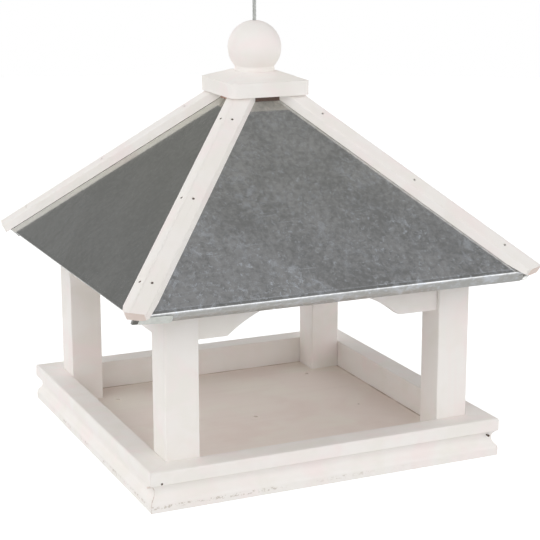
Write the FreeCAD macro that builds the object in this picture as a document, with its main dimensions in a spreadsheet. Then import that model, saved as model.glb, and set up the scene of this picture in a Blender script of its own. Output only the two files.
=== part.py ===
"""Hanging bird table: a square tray, four posts, a hipped sheet-metal roof and a wire rope.

Heights are drawn from the underside of the tray, in millimetres. Every piece is then lowered by
the same amount, so that the origin is where a hook bears in the eye of the rope.
+Z is up and the front of the table faces -Y.
"""
import FreeCAD, Part
import math
import os
import re

import Sketcher
from FreeCAD import Placement, Rotation, Vector

SIZES = (
    # the tray
    ("tray_width", 350, "outer width of the square tray"),
    ("rail_height", 37, "height of the moulded rails round the tray"),
    ("rail_thickness", 23, "thickness of the rails"),
    ("rail_band", 12, "height of the plain band at the top of a rail"),
    ("cove_depth", 4.9, "depth of the cove below the plain band"),
    ("cove_fall", 7.5, "how far the deepest line of the cove lies below the band"),
    ("foot_band", 6.6, "height of the plain band at the foot of a rail"),
    ("foot_inset", 0.3, "how far the foot band stands back from the top band"),
    ("rail_round", 1.8, "rounding of the rail's top outer edge"),
    ("small_round", 0.8, "rounding of the other long edges of a rail"),
    ("mitre_gap", 0.05, "what each rail lacks at a mitre"),
    ("floor_thickness", 9, "thickness of the plywood floor"),
    ("drain_diameter", 5, "diameter of the drain holes"),
    ("drain_inset", 12, "distance of the corner drain holes from the posts, each way"),
    # the posts and the boards between them
    ("post_width", 32, "width of the square posts"),
    ("post_length", 199, "length of the posts, above the floor"),
    ("post_round", 1.2, "rounding of the posts' upright edges"),
    ("board_thickness", 12, "thickness of the arched boards"),
    ("board_setback", 4, "how far a board stands back from the posts' outer faces"),
    ("board_clearance", 134, "height from the floor to the foot of a board"),
    ("board_gap", 0.3, "gap between a board's end and its post"),
    ("arch_shoulder", 34.6, "length of the flat between the arch and a post"),
    ("arch_rise", 30.5, "height of the arch"),
    ("arch_shift", 6, "how far the front board's arch lies to the left of the middle"),
    # the roof
    ("roof_pitch", 41.75, "slope of the four roof faces, in degrees"),
    ("eave_overhang", 20, "how far the eaves stand out beyond the tray"),
    ("rafter_heel", 13.4, "height of the hip line above a post's outer corner"),
    ("sheet_thickness", 0.6, "thickness of the zinc-coated sheet"),
    ("lip_length", 13, "depth of the lip folded down at the eave"),
    ("fold_radius", 1.6, "outer radius of that fold"),
    ("sheet_gap", 0.3, "what each sheet lacks along a hip"),
    ("roof_play", 0.05, "play between the sheet and the wood above and below it"),
    ("rafter_width", 20, "width of the hip rafters"),
    ("rafter_depth", 25, "depth of the hip rafters, square to the hip"),
    ("rafter_setback", 26.1, "distance from a rafter's end to the roof's corner, along the hip"),
    ("block_width", 60, "width of the square block at the peak"),
    ("block_height", 48, "height of that block"),
    ("batten_width", 24.8, "width of the battens over the hips"),
    ("batten_side", 8.3, "height of a batten's side faces"),
    ("batten_lift", 0.3, "gap between a batten's side and the sheet"),
    ("batten_overhang", 2.2, "how far a batten's tip runs past the roof's corner"),
    ("tip_length", 5.5, "length of the pointed end of a batten"),
    ("tip_round", 3, "rounding of the two corners of that end"),
    ("arris", 1.0, "rounding of a batten's upper edges, along the face"),
    ("ridge_ease", 1.4, "rounding of a batten's ridge, along the face"),
    # the cap and the ball
    ("cap_drop", 22, "distance from the peak of the sheets down to the cap"),
    ("cap_width", 79.5, "width of the cap"),
    ("cap_side", 13.5, "height of the cap's upright sides"),
    ("cap_slope", 7.5, "height of the cap's sloped top"),
    ("cap_flat", 37, "width of the flat on the cap"),
    ("cap_corner", 4.5, "rounding of the cap's upright corners"),
    ("ball_diameter", 51, "diameter of the ball"),
    ("neck_radius", 18.8, "radius of the ball's neck"),
    ("neck_height", 4.4, "height of that neck"),
    ("neck_bead", 0.3, "how far the neck's foot stands out"),
    ("spigot_radius", 7, "radius of the ball's spigot"),
    ("spigot_length", 12, "length of the spigot in the cap"),
    # the wire rope it hangs from
    ("rope_diameter", 3.6, "diameter of the wire rope"),
    ("rope_bore", 5.2, "diameter of the hole that the rope turns in"),
    ("free_rope", 34, "length of rope between the ball and the sleeve"),
    ("sleeve_length", 14, "length of the crimped sleeve under the eye"),
    ("sleeve_width", 10.5, "width of that sleeve"),
    ("sleeve_depth", 6.4, "depth of that sleeve"),
    ("eye_radius", 8, "radius of the eye, to the middle of the rope"),
    ("eye_gap", 0.3, "gap between the eye's two legs at the sleeve"),
    ("stop_diameter", 9, "diameter of the crimped stop under the peak"),
    ("stop_length", 12, "length of that stop"),
    ("rope_tail", 4, "length of rope that shows under the stop"),
    ("washer_diameter", 22, "diameter of the washer that the stop bears on"),
    ("washer_thickness", 1.6, "thickness of that washer"),
    ("swivel_gap", 0.2, "running gap between the washer and the stop"),
    # nails, screws and dowels
    ("nail_diameter", 1.6, "diameter of a nail's shank"),
    ("nail_head", 2.4, "diameter of a nail's head"),
    ("nail_head_thickness", 0.7, "thickness of a nail's head"),
    ("nail_sink", 0.5, "how deep the heads are driven in"),
    ("batten_nail_length", 32, "length of the nails through the battens"),
    ("batten_nail_side", 5.5, "distance from a batten's ridge to its nails"),
    ("nail_low", 38, "distance from a batten's tip to its lowest nails"),
    ("nail_middle", 187.3, "distance from the peak to a batten's middle nails, along the hip"),
    ("nail_high", 80.3, "distance from the peak to a batten's highest nails, along the hip"),
    ("rail_nail_length", 30, "length of the nails in the mitres"),
    ("rail_nail_head", 2.2, "diameter of their heads"),
    ("rail_nail_inset", 10.5, "distance from a rail's end to its nails"),
    ("rail_nail_left", 26.2, "height of the nail at a rail's left end"),
    ("rail_nail_right", 20.8, "height of the nail at a rail's right end"),
    ("pin_diameter", 1.4, "diameter of the headless pins through the rails"),
    ("pin_length", 40, "length of those pins"),
    ("pin_sink", 1, "how deep those pins are driven below the face"),
    ("pin_offset", 60, "distance from the middle of a side to its pins"),
    ("screw_diameter", 4, "diameter of the screws into the posts"),
    ("screw_length", 45, "length of those screws"),
    ("screw_head", 8, "diameter of their countersunk heads"),
    ("screw_head_height", 2.6, "height of those heads"),
    ("dowel_diameter", 6, "diameter of the dowels in the boards' ends"),
    ("dowel_length", 24, "length of those dowels"),
    ("dowel_rise", 40, "height of the dowels above the foot of a board"),
    ("rafter_nail_length", 42, "length of the nails from a rafter into its post"),
)

WORKED_OUT = {
    "half": "tray_width / 2",
    "inner_half": "half - rail_thickness",
    "post_middle": "inner_half - post_width / 2",
    "post_inner": "inner_half - post_width",
    "cove_radius": "(cove_fall ^ 2 + cove_depth ^ 2) / (2 * cove_depth)",
    "cove_level": "band_level - cove_fall",
    "band_level": "rail_height - rail_band",
    "cove_in": "foot_inset + cove_radius - cove_depth",
    "cove_drop": "cove_level - foot_band",
    "bulge_radius": "(cove_in ^ 2 + cove_drop ^ 2 - cove_radius ^ 2) / (2 * (cove_radius - cove_in))",
    "ogee_share": "cove_radius / (cove_radius + bulge_radius)",
    "ogee_depth": "cove_depth - cove_radius + ogee_share * (cove_in + bulge_radius)",
    "ogee_level": "cove_level - ogee_share * cove_drop",
    "post_top": "floor_thickness + post_length",
    "drain_offset": "post_inner - drain_inset",
    "arch_half_span": "post_inner - arch_shoulder",
    "roof_half": "half + eave_overhang",
    "fall": "tan(roof_pitch)",
    "eave_level": "post_top + rafter_heel - (roof_half - inner_half) * fall",
    "peak_level": "eave_level + roof_half * fall",
    "hip_pitch": "atan(fall / sqrt(2))",
    "hip_length": "sqrt(2) * roof_half / cos(hip_pitch)",
    "rafter_reach": "hip_length - rafter_setback",
    "batten_reach": "hip_length + batten_overhang",
    "side_fall": "sin(hip_pitch)",
    "side_angle": "atan(side_fall)",
    "sheet_across_hip": "sheet_thickness / cos(side_angle)",
    "board_out": "inner_half - board_setback",
    "board_in": "board_out - board_thickness",
    "board_half": "post_inner - board_gap",
    "board_foot": "floor_thickness + board_clearance",
    "under_sheet": "sheet_thickness / cos(roof_pitch) + roof_play",
    "arch_radius": "(arch_half_span ^ 2 + arch_rise ^ 2) / (2 * arch_rise)",
    "block_half": "block_width / 2",
    "cap_level": "peak_level - cap_drop",
    "cap_top": "cap_level + cap_side + cap_slope",
    "batten_half": "batten_width / 2",
    "batten_foot": "batten_lift - batten_half * side_fall",
    "batten_shoulder": "batten_foot + batten_side",
    "batten_ridge": "batten_shoulder + batten_half * side_fall",
    "batten_start": "(cap_drop + batten_foot * cos(hip_pitch)) / sin(hip_pitch)",
    "ball_radius": "ball_diameter / 2",
    "ball_rise": "neck_height + sqrt(ball_radius ^ 2 - neck_radius ^ 2)",
    "ball_top": "cap_top + ball_rise + ball_radius",
    "rope_radius": "rope_diameter / 2",
    "bore_radius": "rope_bore / 2",
    "leg_offset": "rope_radius + eye_gap / 2",
    "bend_offset": "leg_offset + eye_radius",
    "eye_rise": "sqrt(4 * eye_radius ^ 2 - bend_offset ^ 2)",
    "sleeve_foot": "ball_top + free_rope",
    "sleeve_top": "sleeve_foot + sleeve_length",
    "hook_level": "sleeve_top + eye_rise + eye_radius - rope_radius",
    "block_foot": "cap_level - block_height",
    "washer_foot": "block_foot - washer_thickness",
    "stop_top": "washer_foot - swivel_gap",
    "stop_foot": "stop_top - stop_length",
}

SIDES = ("front", "right", "back", "left")
CORNERS = ("front_left", "front_right", "back_right", "back_left")
QUARTER = 90
FIRST_CORNER = 225
FAR = 400
NAMES = {name for name, _, _ in SIZES}

document = FreeCAD.newDocument("bird_table")
sheet = document.addObject("Spreadsheet::Sheet", "Sizes")
for row, (name, value, meaning) in enumerate(SIZES, start=1):
    sheet.set(f"A{row}", meaning)
    sheet.set(f"B{row}", str(value))
    sheet.setAlias(f"B{row}", name)
document.recompute()


def expression(text):
    """The text with each size written as its cell, and each worked-out size written out."""

    def replace(match):
        word = match.group(0)
        if word in WORKED_OUT:
            return f"({expression(WORKED_OUT[word])})"
        return f"Sizes.{word}" if word in NAMES else word

    return re.sub(r"[a-z_]+", replace, str(text))


def number(text):
    """The value that an expression has now, in millimetres or degrees."""
    value = sheet.evalExpression(expression(text))
    return float(getattr(value, "Value", value))


def bind(item, **values):
    """Ties properties of an object to expressions of the sizes."""
    for name, text in values.items():
        item.setExpression(name, expression(text))
    return item


def hang(item, turn=0.0, level="0", tilt="0"):
    """Turns a piece about the upright axis and lowers it from the eye's bearing point."""
    place = f"create(<<vector>>; 0; 0; {level} - hook_level)"
    turned = f"create(<<rotation>>; {turn}; {tilt}; 0)"
    return bind(item, Placement=f"create(<<placement>>; {place}; {turned})")


def on_hip(item, index):
    """Lays a piece along a hip: its X runs down the hip and its Z stands off it."""
    return hang(item, FIRST_CORNER + QUARTER * index, "peak_level", "hip_pitch")


def body_named(label):
    body = document.addObject("PartDesign::Body", label)
    body.Label = label
    return body


def sketch_on(body, name, plane, offset="0"):
    """A sketch on one of the body's own origin planes, moved along the plane's normal."""
    sketch = body.newObject("Sketcher::SketchObject", f"{body.Label}_{name}")
    support = next(item for item in body.Origin.OriginFeatures if item.Role == plane)
    sketch.AttachmentSupport = [(support, "")]
    sketch.MapMode = "FlatFace"
    sketch.setExpression("AttachmentOffset.Base.z", expression(offset))
    return sketch


def place_point(sketch, edge, end, across, up):
    for kind, text in (("DistanceX", across), ("DistanceY", up)):
        index = sketch.addConstraint(Sketcher.Constraint(kind, -1, 1, edge, end, number(text)))
        name = f"{kind[-1].lower()}{edge}_{end}"
        sketch.renameConstraint(index, name)
        sketch.setExpression(f"Constraints.{name}", expression(text))


def set_radius(sketch, edge, radius):
    index = sketch.addConstraint(Sketcher.Constraint("Radius", edge, number(radius)))
    sketch.renameConstraint(index, f"r{edge}")
    sketch.setExpression(f"Constraints.r{edge}", expression(radius))


def add_arc(sketch, start, end, radius, turn):
    """Adds the shorter arc from start to end, whose centre is to the left or the right."""
    chord = end - start
    middle = (start + end) * 0.5
    left = Vector(-chord.y, chord.x, 0).normalize()
    reach = math.sqrt(max(radius**2 - (chord.Length / 2) ** 2, 0))
    centre = middle + left * (reach if turn == "left" else -reach)
    first, last = (start, end) if turn == "left" else (end, start)
    angles = [math.atan2(point.y - centre.y, point.x - centre.x) for point in (first, last)]
    circle = Part.Circle(centre, Vector(0, 0, 1), radius)
    return sketch.addGeometry(Part.ArcOfCircle(circle, *angles), False)


def draw(sketch, corners, closed=True):
    """Draws an outline through corners, each (across, up), or (across, up, radius, turn) where
    the edge that leaves the corner is an arc of that radius turning left or right."""
    points = [Vector(number(corner[0]), number(corner[1]), 0) for corner in corners]
    count = len(corners)
    ends = []
    for index, corner in enumerate(corners if closed else corners[:-1]):
        start, end = points[index], points[(index + 1) % count]
        if len(corner) == 2:
            edge = sketch.addGeometry(Part.LineSegment(start, end), False)
            ends.append((edge, 1, 2))
        else:
            edge = add_arc(sketch, start, end, number(corner[2]), corner[3])
            ends.append((edge, 1, 2) if corner[3] == "left" else (edge, 2, 1))
    for index, (edge, start, end) in enumerate(ends):
        place_point(sketch, edge, start, *corners[index][:2])
        if closed or index + 1 < len(ends):
            following = ends[(index + 1) % len(ends)]
            meet = Sketcher.Constraint("Coincident", edge, end, following[0], following[1])
            sketch.addConstraint(meet)
        else:
            place_point(sketch, edge, end, *corners[-1][:2])
        if len(corners[index]) > 2:
            set_radius(sketch, edge, corners[index][2])
    return sketch


def draw_circle(sketch, across, up, radius):
    centre = Vector(number(across), number(up), 0)
    circle = Part.Circle(centre, Vector(0, 0, 1), number(radius))
    edge = sketch.addGeometry(circle, False)
    place_point(sketch, edge, 3, across, up)
    set_radius(sketch, edge, radius)
    return sketch


def rounded_square(half_width, rounding, across="0", up="0"):
    """Corners of a square with rounded corners, for draw()."""
    far, near = f"{half_width}", f"({half_width} - {rounding})"
    arc = (rounding, "left")
    return [
        (f"{across} + {far}", f"{up} - {near}"),
        (f"{across} + {far}", f"{up} + {near}", *arc),
        (f"{across} + {near}", f"{up} + {far}"),
        (f"{across} - {near}", f"{up} + {far}", *arc),
        (f"{across} - {far}", f"{up} + {near}"),
        (f"{across} - {far}", f"{up} - {near}", *arc),
        (f"{across} - {near}", f"{up} - {far}"),
        (f"{across} + {near}", f"{up} - {far}", *arc),
    ]


def pad(body, sketch, length, both_ways=False):
    feature = body.newObject("PartDesign::Pad", f"{sketch.Name}_pad")
    feature.Profile = sketch
    feature.SideType = "Symmetric" if both_ways else "One side"
    return bind(feature, Length=length)


def pocket(body, sketch, length, both_ways=False, upwards=True):
    """Cuts a sketch out of the body, and stops if nothing was cut."""
    document.recompute()
    before = body.Shape.Volume
    feature = body.newObject("PartDesign::Pocket", f"{sketch.Name}_pocket")
    feature.Profile = sketch
    feature.SideType = "Symmetric" if both_ways else "One side"
    feature.Reversed = upwards
    bind(feature, Length=length)
    document.recompute()
    if body.Shape.Volume >= before:
        raise ValueError(f"{feature.Name} cuts nothing")
    return feature


def revolve(body, sketch):
    feature = body.newObject("PartDesign::Revolution", f"{sketch.Name}_turned")
    feature.Profile = sketch
    feature.ReferenceAxis = (sketch, ["V_Axis"])
    feature.Angle = 360
    return feature


def cut(label, blank, *tools):
    """The blank with each tool cut out of it in turn. The last cut is the piece."""
    blank.Label = f"{label}_blank"
    for tool in tools:
        piece = document.addObject("Part::Cut", f"{label}_cut")
        piece.Base = blank
        piece.Tool = tool
        blank = piece
    blank.Label = label
    return blank


def copies(label, template, places):
    """One node that holds a copy of the template's solid at each place."""
    document.recompute()
    group = document.addObject("Part::Feature", label)
    group.Label = label
    solid = template.Shape.copy()
    solid.Placement = Placement()
    moved = []
    for place in places:
        one = solid.copy()
        one.Placement = place
        moved.append(one)
    group.Shape = Part.makeCompound(moved)
    return group


def hip_place(along, across, off, turn):
    """The place of a template on a hip, its head facing square off the hip."""
    lean = Rotation(turn, number("hip_pitch"), 0)
    peak = Vector(0, 0, number("peak_level - hook_level"))
    return Placement(peak + lean.multVec(Vector(along, across, off)), lean)


def nail(label, radius, head_radius, head, length, rise="0"):
    """A nail whose head's top is at the origin and whose shank runs down. With a rise, it is the
    room that a sunk nail takes, with the pit above its head."""
    body = body_named(label)
    sketch = sketch_on(body, "half", "XZ_Plane")
    draw(sketch, [
        ("0", f"-({length})"),
        (radius, f"-({length}) + 2 * ({radius})"),
        (radius, f"-({head})"),
        (head_radius, f"-({head})"),
        (head_radius, rise),
        ("0", rise),
    ])
    revolve(body, sketch)
    return body


def make_pin():
    """A headless pin, its blunt end at the origin and its point below."""
    body = body_named("floor_pin")
    sketch = sketch_on(body, "half", "XZ_Plane")
    draw(sketch, [
        ("0", "-pin_length"),
        ("pin_diameter / 2", "pin_diameter - pin_length"),
        ("pin_diameter / 2", "0"),
        ("0", "0"),
    ])
    revolve(body, sketch)
    return body


def make_rail(label):
    """A moulded rail along the front, with its ends cut to mitres."""
    body = body_named(label)
    section = sketch_on(body, "section", "YZ_Plane")
    draw(section, [
        ("-half + rail_thickness - small_round", "0"),
        ("-half + foot_inset + small_round", "0", "small_round", "right"),
        ("-half + foot_inset", "small_round"),
        ("-half + foot_inset", "foot_band", "bulge_radius", "right"),
        ("-half + ogee_depth", "ogee_level", "cove_radius", "left"),
        ("-half", "band_level"),
        ("-half", "rail_height - rail_round", "rail_round", "right"),
        ("-half + rail_round", "rail_height"),
        ("-inner_half - small_round", "rail_height", "small_round", "right"),
        ("-inner_half", "rail_height - small_round"),
        ("-inner_half", "small_round", "small_round", "right"),
    ])
    pad(body, section, "tray_width", both_ways=True)
    for name, sign in (("left", "-"), ("right", "")):
        mitre = sketch_on(body, f"mitre_{name}", "XY_Plane")
        draw(mitre, [
            (f"{sign}(inner_half - rail_thickness - mitre_gap)", "-(inner_half - rail_thickness)"),
            (f"{sign}(half + rail_thickness - mitre_gap)", "-(half + rail_thickness)"),
            (f"{sign}(half + rail_thickness)", "-(inner_half - rail_thickness)"),
        ])
        pocket(body, mitre, "2 * rail_height", both_ways=True)
    return body


def make_floor():
    """The plywood floor between the rails, with its drain holes."""
    body = body_named("tray_floor_sheet")
    outline = sketch_on(body, "outline", "XY_Plane")
    draw(outline, [
        ("-inner_half", "-inner_half"),
        ("inner_half", "-inner_half"),
        ("inner_half", "inner_half"),
        ("-inner_half", "inner_half"),
    ])
    pad(body, outline, "floor_thickness")
    drains = sketch_on(body, "drains", "XY_Plane")
    draw_circle(drains, "0", "0", "drain_diameter / 2")
    for across in ("drain_offset", "-drain_offset"):
        for up in ("drain_offset", "-drain_offset"):
            draw_circle(drains, across, up, "drain_diameter / 2")
    pocket(body, drains, "3 * floor_thickness", both_ways=True)
    return body


def make_post(label):
    """The post at the front left corner. The others are turned from it."""
    body = body_named(label)
    section = sketch_on(body, "section", "XY_Plane", "floor_thickness")
    draw(section, rounded_square("post_width / 2", "post_round", "-post_middle", "-post_middle"))
    pad(body, section, "post_length")
    return body


def make_board(label, shift):
    """An arched board, as it stands at the front, bevelled on top to lie under the sheet. Its
    arch lies to the left of the middle by the shift."""
    body = body_named(label)
    face = sketch_on(body, "face", "XZ_Plane", "board_in")
    top = "eave_level + (roof_half - board_in) * fall - under_sheet"
    draw(face, [
        ("-board_half", "board_foot"),
        (f"-arch_half_span - {shift}", "board_foot", "arch_radius", "right"),
        (f"arch_half_span - {shift}", "board_foot"),
        ("board_half", "board_foot"),
        ("board_half", top),
        ("-board_half", top),
    ])
    pad(body, face, "board_thickness")
    bevel = sketch_on(body, "bevel", "YZ_Plane")
    draw(bevel, [
        ("-board_in + board_thickness", f"{top} + board_thickness * fall"),
        ("-board_out - board_thickness", f"{top} - 2 * board_thickness * fall"),
        ("-board_out - board_thickness", f"{top} + board_thickness * fall"),
    ])
    pocket(body, bevel, "2 * tray_width", both_ways=True)
    return body


def make_rafter(label, index):
    """A hip rafter, before it is notched over the block and the post."""
    body = body_named(label)
    section = sketch_on(body, "section", "YZ_Plane")
    ridge = "-(sheet_across_hip + roof_play)"
    shoulder = f"{ridge} - rafter_width / 2 * side_fall"
    draw(section, [
        ("0", ridge),
        ("-rafter_width / 2", shoulder),
        ("-rafter_width / 2", "-rafter_depth"),
        ("rafter_width / 2", "-rafter_depth"),
        ("rafter_width / 2", shoulder),
    ])
    pad(body, section, "rafter_reach")
    return on_hip(body, index)


def make_panel(label):
    """A roof sheet facing the front, with its lip folded down square to it at the eave."""
    body = body_named(label)
    section = sketch_on(body, "section", "YZ_Plane")
    top = "block_half + sheet_gap"
    rise = "eave_level + (roof_half - block_half - sheet_gap) * fall"
    cosine, sine = "cos(roof_pitch)", "sin(roof_pitch)"

    def from_fold(up_slope, along_lip):
        across = f"-roof_half + ({up_slope}) * {cosine} + ({along_lip}) * {sine}"
        up = f"eave_level + ({up_slope}) * {sine} - ({along_lip}) * {cosine}"
        return across, up

    draw(section, [
        (f"-({top})", rise),
        (*from_fold("fold_radius", "0"), "fold_radius", "left"),
        from_fold("0", "fold_radius"),
        from_fold("0", "lip_length"),
        from_fold("sheet_thickness", "lip_length"),
        (*from_fold("sheet_thickness", "fold_radius"), "fold_radius - sheet_thickness", "right"),
        from_fold("fold_radius", "sheet_thickness"),
        (f"-({top})", f"{rise} - sheet_thickness / {cosine}"),
    ])
    pad(body, section, "2 * roof_half + 2 * lip_length", both_ways=True)
    for name, sign in (("left", "-"), ("right", "")):
        hip = sketch_on(body, f"hip_{name}", "XY_Plane")
        draw(hip, [
            (f"{sign}(-sheet_gap)", "0"),
            (f"{sign}(1.5 * roof_half - sheet_gap)", "-1.5 * roof_half"),
            (f"{sign}(1.5 * roof_half)", "0"),
        ])
        pocket(body, hip, "2 * peak_level", both_ways=True)
    return body


def make_batten(label, index):
    """A batten over a hip, before its top is notched over the block and trimmed under the cap.
    It is gabled above and grooved below, and its foot is pointed."""
    body = body_named(label)
    section = sketch_on(body, "section", "YZ_Plane", "batten_start")
    lean, rise = "cos(side_angle)", "sin(side_angle)"
    side = [
        ("batten_half", "batten_foot"),
        ("batten_half", "batten_shoulder - arris", "arris * tan(45 deg + side_angle / 2)", "left"),
        (f"batten_half - arris * {lean}", f"batten_shoulder + arris * {rise}"),
        (f"ridge_ease * {lean}", f"batten_ridge - ridge_ease * {rise}",
         "ridge_ease * tan(90 deg - side_angle)", "left"),
        (f"-ridge_ease * {lean}", f"batten_ridge - ridge_ease * {rise}"),
        (f"-batten_half + arris * {lean}", f"batten_shoulder + arris * {rise}",
         "arris * tan(45 deg + side_angle / 2)", "left"),
        ("-batten_half", "batten_shoulder - arris"),
        ("-batten_half", "batten_foot"),
        ("0", "roof_play"),
    ]
    draw(section, side)
    pad(body, section, "batten_reach - batten_start")
    slope = "atan(tip_length / batten_half)"
    tangent = f"tip_round * tan(45 deg - {slope} / 2)"
    for name, sign, turn in (("left", "-", "right"), ("right", "", "left")):
        tip = sketch_on(body, f"tip_{name}", "XY_Plane")
        draw(tip, [
            ("batten_reach", "0"),
            (f"batten_reach - tip_length + {tangent} * sin({slope})",
             f"{sign}(batten_half - {tangent} * cos({slope}))", "tip_round", turn),
            (f"batten_reach - tip_length - {tangent}", f"{sign}batten_half"),
            (f"batten_reach - tip_length - {tangent}", f"{sign}2 * batten_half"),
            ("batten_reach + batten_half", f"{sign}2 * batten_half"),
            ("batten_reach + batten_half", "0"),
        ])
        pocket(body, tip, "4 * batten_width", both_ways=True)
    return on_hip(body, index)


def make_block():
    """The square block at the peak, which the rafters meet and the cap lies on."""
    body = body_named("peak_block")
    section = sketch_on(body, "section", "XY_Plane", "block_foot")
    draw(section, rounded_square("block_half", "small_round"))
    draw_circle(section, "0", "0", "bore_radius")
    pad(body, section, "block_height")
    return hang(body)


def make_cap():
    """The square cap with its low sloped top, bored for the rope and the ball's spigot."""
    body = body_named("roof_cap")
    section = sketch_on(body, "section", "XY_Plane", "cap_level")
    draw(section, rounded_square("cap_width / 2", "cap_corner"))
    pad(body, section, "cap_side")
    eaves = sketch_on(body, "eaves", "XY_Plane", "cap_level + cap_side")
    draw(eaves, rounded_square("cap_width / 2", "cap_corner"))
    flat = sketch_on(body, "flat", "XY_Plane", "cap_top")
    draw(flat, rounded_square("cap_flat / 2", "cap_corner / 2"))
    loft = body.newObject("PartDesign::AdditiveLoft", "roof_cap_loft")
    loft.Profile = eaves
    loft.Sections = [flat]
    loft.Ruled = True
    bore = sketch_on(body, "bore", "XY_Plane", "cap_level")
    draw_circle(bore, "0", "0", "bore_radius")
    pocket(body, bore, "3 * (cap_top - cap_level)", both_ways=True)
    socket = sketch_on(body, "socket", "XY_Plane", "cap_top - spigot_length")
    draw_circle(socket, "0", "0", "spigot_radius")
    pocket(body, socket, "2 * spigot_length")
    return hang(body)


def make_ball():
    """The turned ball with its neck and spigot, bored for the rope."""
    body = body_named("finial_ball")
    half = sketch_on(body, "half", "XZ_Plane")
    bead = "neck_radius + neck_bead"
    draw(half, [
        ("bore_radius", "cap_top - spigot_length"),
        ("spigot_radius", "cap_top - spigot_length"),
        ("spigot_radius", "cap_top"),
        (bead, "cap_top"),
        (bead, "cap_top + neck_height / 2", "neck_bead", "left"),
        ("neck_radius", "cap_top + neck_height / 2 + neck_bead"),
        ("neck_radius", "cap_top + neck_height", "ball_radius", "left"),
        ("ball_radius", "cap_top + ball_rise", "ball_radius", "left"),
        ("bore_radius", "cap_top + ball_rise + sqrt(ball_radius ^ 2 - bore_radius ^ 2)"),
    ])
    revolve(body, half)
    return hang(body)


def make_eye():
    """The eye of the rope: two legs that part above the sleeve and close in a round top."""
    body = body_named("rope_eye")
    path = sketch_on(body, "path", "XZ_Plane")
    middle = "bend_offset / 2"
    draw(path, [
        ("leg_offset", "sleeve_top", "eye_radius", "right"),
        (middle, "sleeve_top + eye_rise / 2", "eye_radius", "left"),
        ("eye_radius", "sleeve_top + eye_rise", "eye_radius", "left"),
        ("0", "sleeve_top + eye_rise + eye_radius", "eye_radius", "left"),
        ("-eye_radius", "sleeve_top + eye_rise", "eye_radius", "left"),
        (f"-{middle}", "sleeve_top + eye_rise / 2", "eye_radius", "right"),
        ("-leg_offset", "sleeve_top"),
    ], closed=False)
    section = sketch_on(body, "section", "XY_Plane", "sleeve_top")
    draw_circle(section, "leg_offset", "0", "rope_radius")
    pipe = body.newObject("PartDesign::AdditivePipe", "rope_eye_pipe")
    pipe.Profile = section
    pipe.Spine = path
    pipe.Mode = "Frenet"
    return hang(body)


def make_sleeve():
    """The flat sleeve crimped round both legs of the eye."""
    body = body_named("eye_sleeve")
    section = sketch_on(body, "section", "XY_Plane", "sleeve_foot")
    flat = "(sleeve_width - sleeve_depth) / 2"
    deep = "sleeve_depth / 2"
    draw(section, [
        (f"-{flat}", f"-{deep}"),
        (flat, f"-{deep}", deep, "left"),
        ("sleeve_width / 2", "0", deep, "left"),
        (flat, deep),
        (f"-{flat}", deep, deep, "left"),
        ("-sleeve_width / 2", "0", deep, "left"),
    ])
    pad(body, section, "sleeve_length")
    return hang(body)


def round_bar(label, foot, length, diameter):
    """A plain round length of rope, or a disc, on the upright axis."""
    bar = document.addObject("Part::Cylinder", label)
    bar.Label = label
    bind(bar, Radius=f"({diameter}) / 2", Height=length)
    return hang(bar, level=foot)


def square_tool(label, half_width, foot, height, middle="0"):
    """A square bar that other pieces are cut round."""
    body = body_named(label)
    section = sketch_on(body, "section", "XY_Plane", foot)
    far, near = f"-({middle}) - ({half_width})", f"-({middle}) + ({half_width})"
    draw(section, [(far, far), (near, far), (near, near), (far, near)])
    pad(body, section, height)
    return body


def hip_nail_places():
    """Two nails in each batten, one in each face, at three places."""
    side = number("batten_nail_side")
    top = number("batten_ridge - batten_nail_side * side_fall - nail_sink")
    places = []
    for index in range(len(CORNERS)):
        for text in ("nail_high", "nail_middle", "batten_reach - nail_low"):
            along = number(text)
            for across in (side, -side):
                places.append(hip_place(along, across, top, FIRST_CORNER + QUARTER * index))
    return places


def face_place(across, face, level, turn):
    """The place of a template whose head faces out of a side of the table."""
    about = Rotation(Vector(0, 0, 1), turn)
    out = Rotation(Vector(1, 0, 0), 90)
    point = Vector(across, face, level - number("hook_level"))
    return Placement(about.multVec(point), about * out)


def rail_nail_places():
    """One nail into each end of each rail, across the mitre."""
    face = -number("half - nail_sink")
    inset = number("half - rail_nail_inset")
    left, right = number("rail_nail_left"), number("rail_nail_right")
    places = []
    for index in range(len(SIDES)):
        for across, level in ((-inset, left), (inset, right)):
            places.append(face_place(across, face, level, QUARTER * index))
    return places


def pin_places():
    """Headless pins through the foot of the rails into the floor's edge."""
    face = -number("half - foot_inset - pin_sink")
    level = number("floor_thickness / 2")
    offset = number("pin_offset")
    return [
        face_place(across, face, level, QUARTER * index)
        for index in range(len(SIDES))
        for across in (-offset, offset)
    ]


def screw_places():
    """A screw up through the floor into the middle of each post."""
    middle = number("post_middle")
    upside_down = Rotation(Vector(1, 0, 0), 180)
    level = -number("hook_level")
    return [
        Placement(Vector(across * middle, up * middle, level), upside_down)
        for across in (-1, 1)
        for up in (-1, 1)
    ]


def dowel_places():
    """A dowel across each joint between a board and a post."""
    across = number("post_inner")
    face = -number("(board_out + board_in) / 2")
    level = number("board_foot + dowel_rise - hook_level")
    places = []
    for index in range(len(SIDES)):
        about = Rotation(Vector(0, 0, 1), QUARTER * index)
        for side in (-1, 1):
            point = about.multVec(Vector(side * across, face, level))
            places.append(Placement(point, about * Rotation(Vector(0, 1, 0), 90)))
    return places


def rafter_nail_places():
    """An upright nail through each rafter into the middle of its post."""
    along = number("sqrt(2) * post_middle")
    level = number("peak_level - post_middle * fall - hook_level")
    sink = number("(sheet_across_hip + roof_play) / cos(hip_pitch) + 2 * nail_sink")
    places = []
    for index in range(len(CORNERS)):
        angle = math.radians(FIRST_CORNER + QUARTER * index)
        point = Vector(along * math.cos(angle), along * math.sin(angle), level - sink)
        places.append(Placement(point, Rotation()))
    return places


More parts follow.
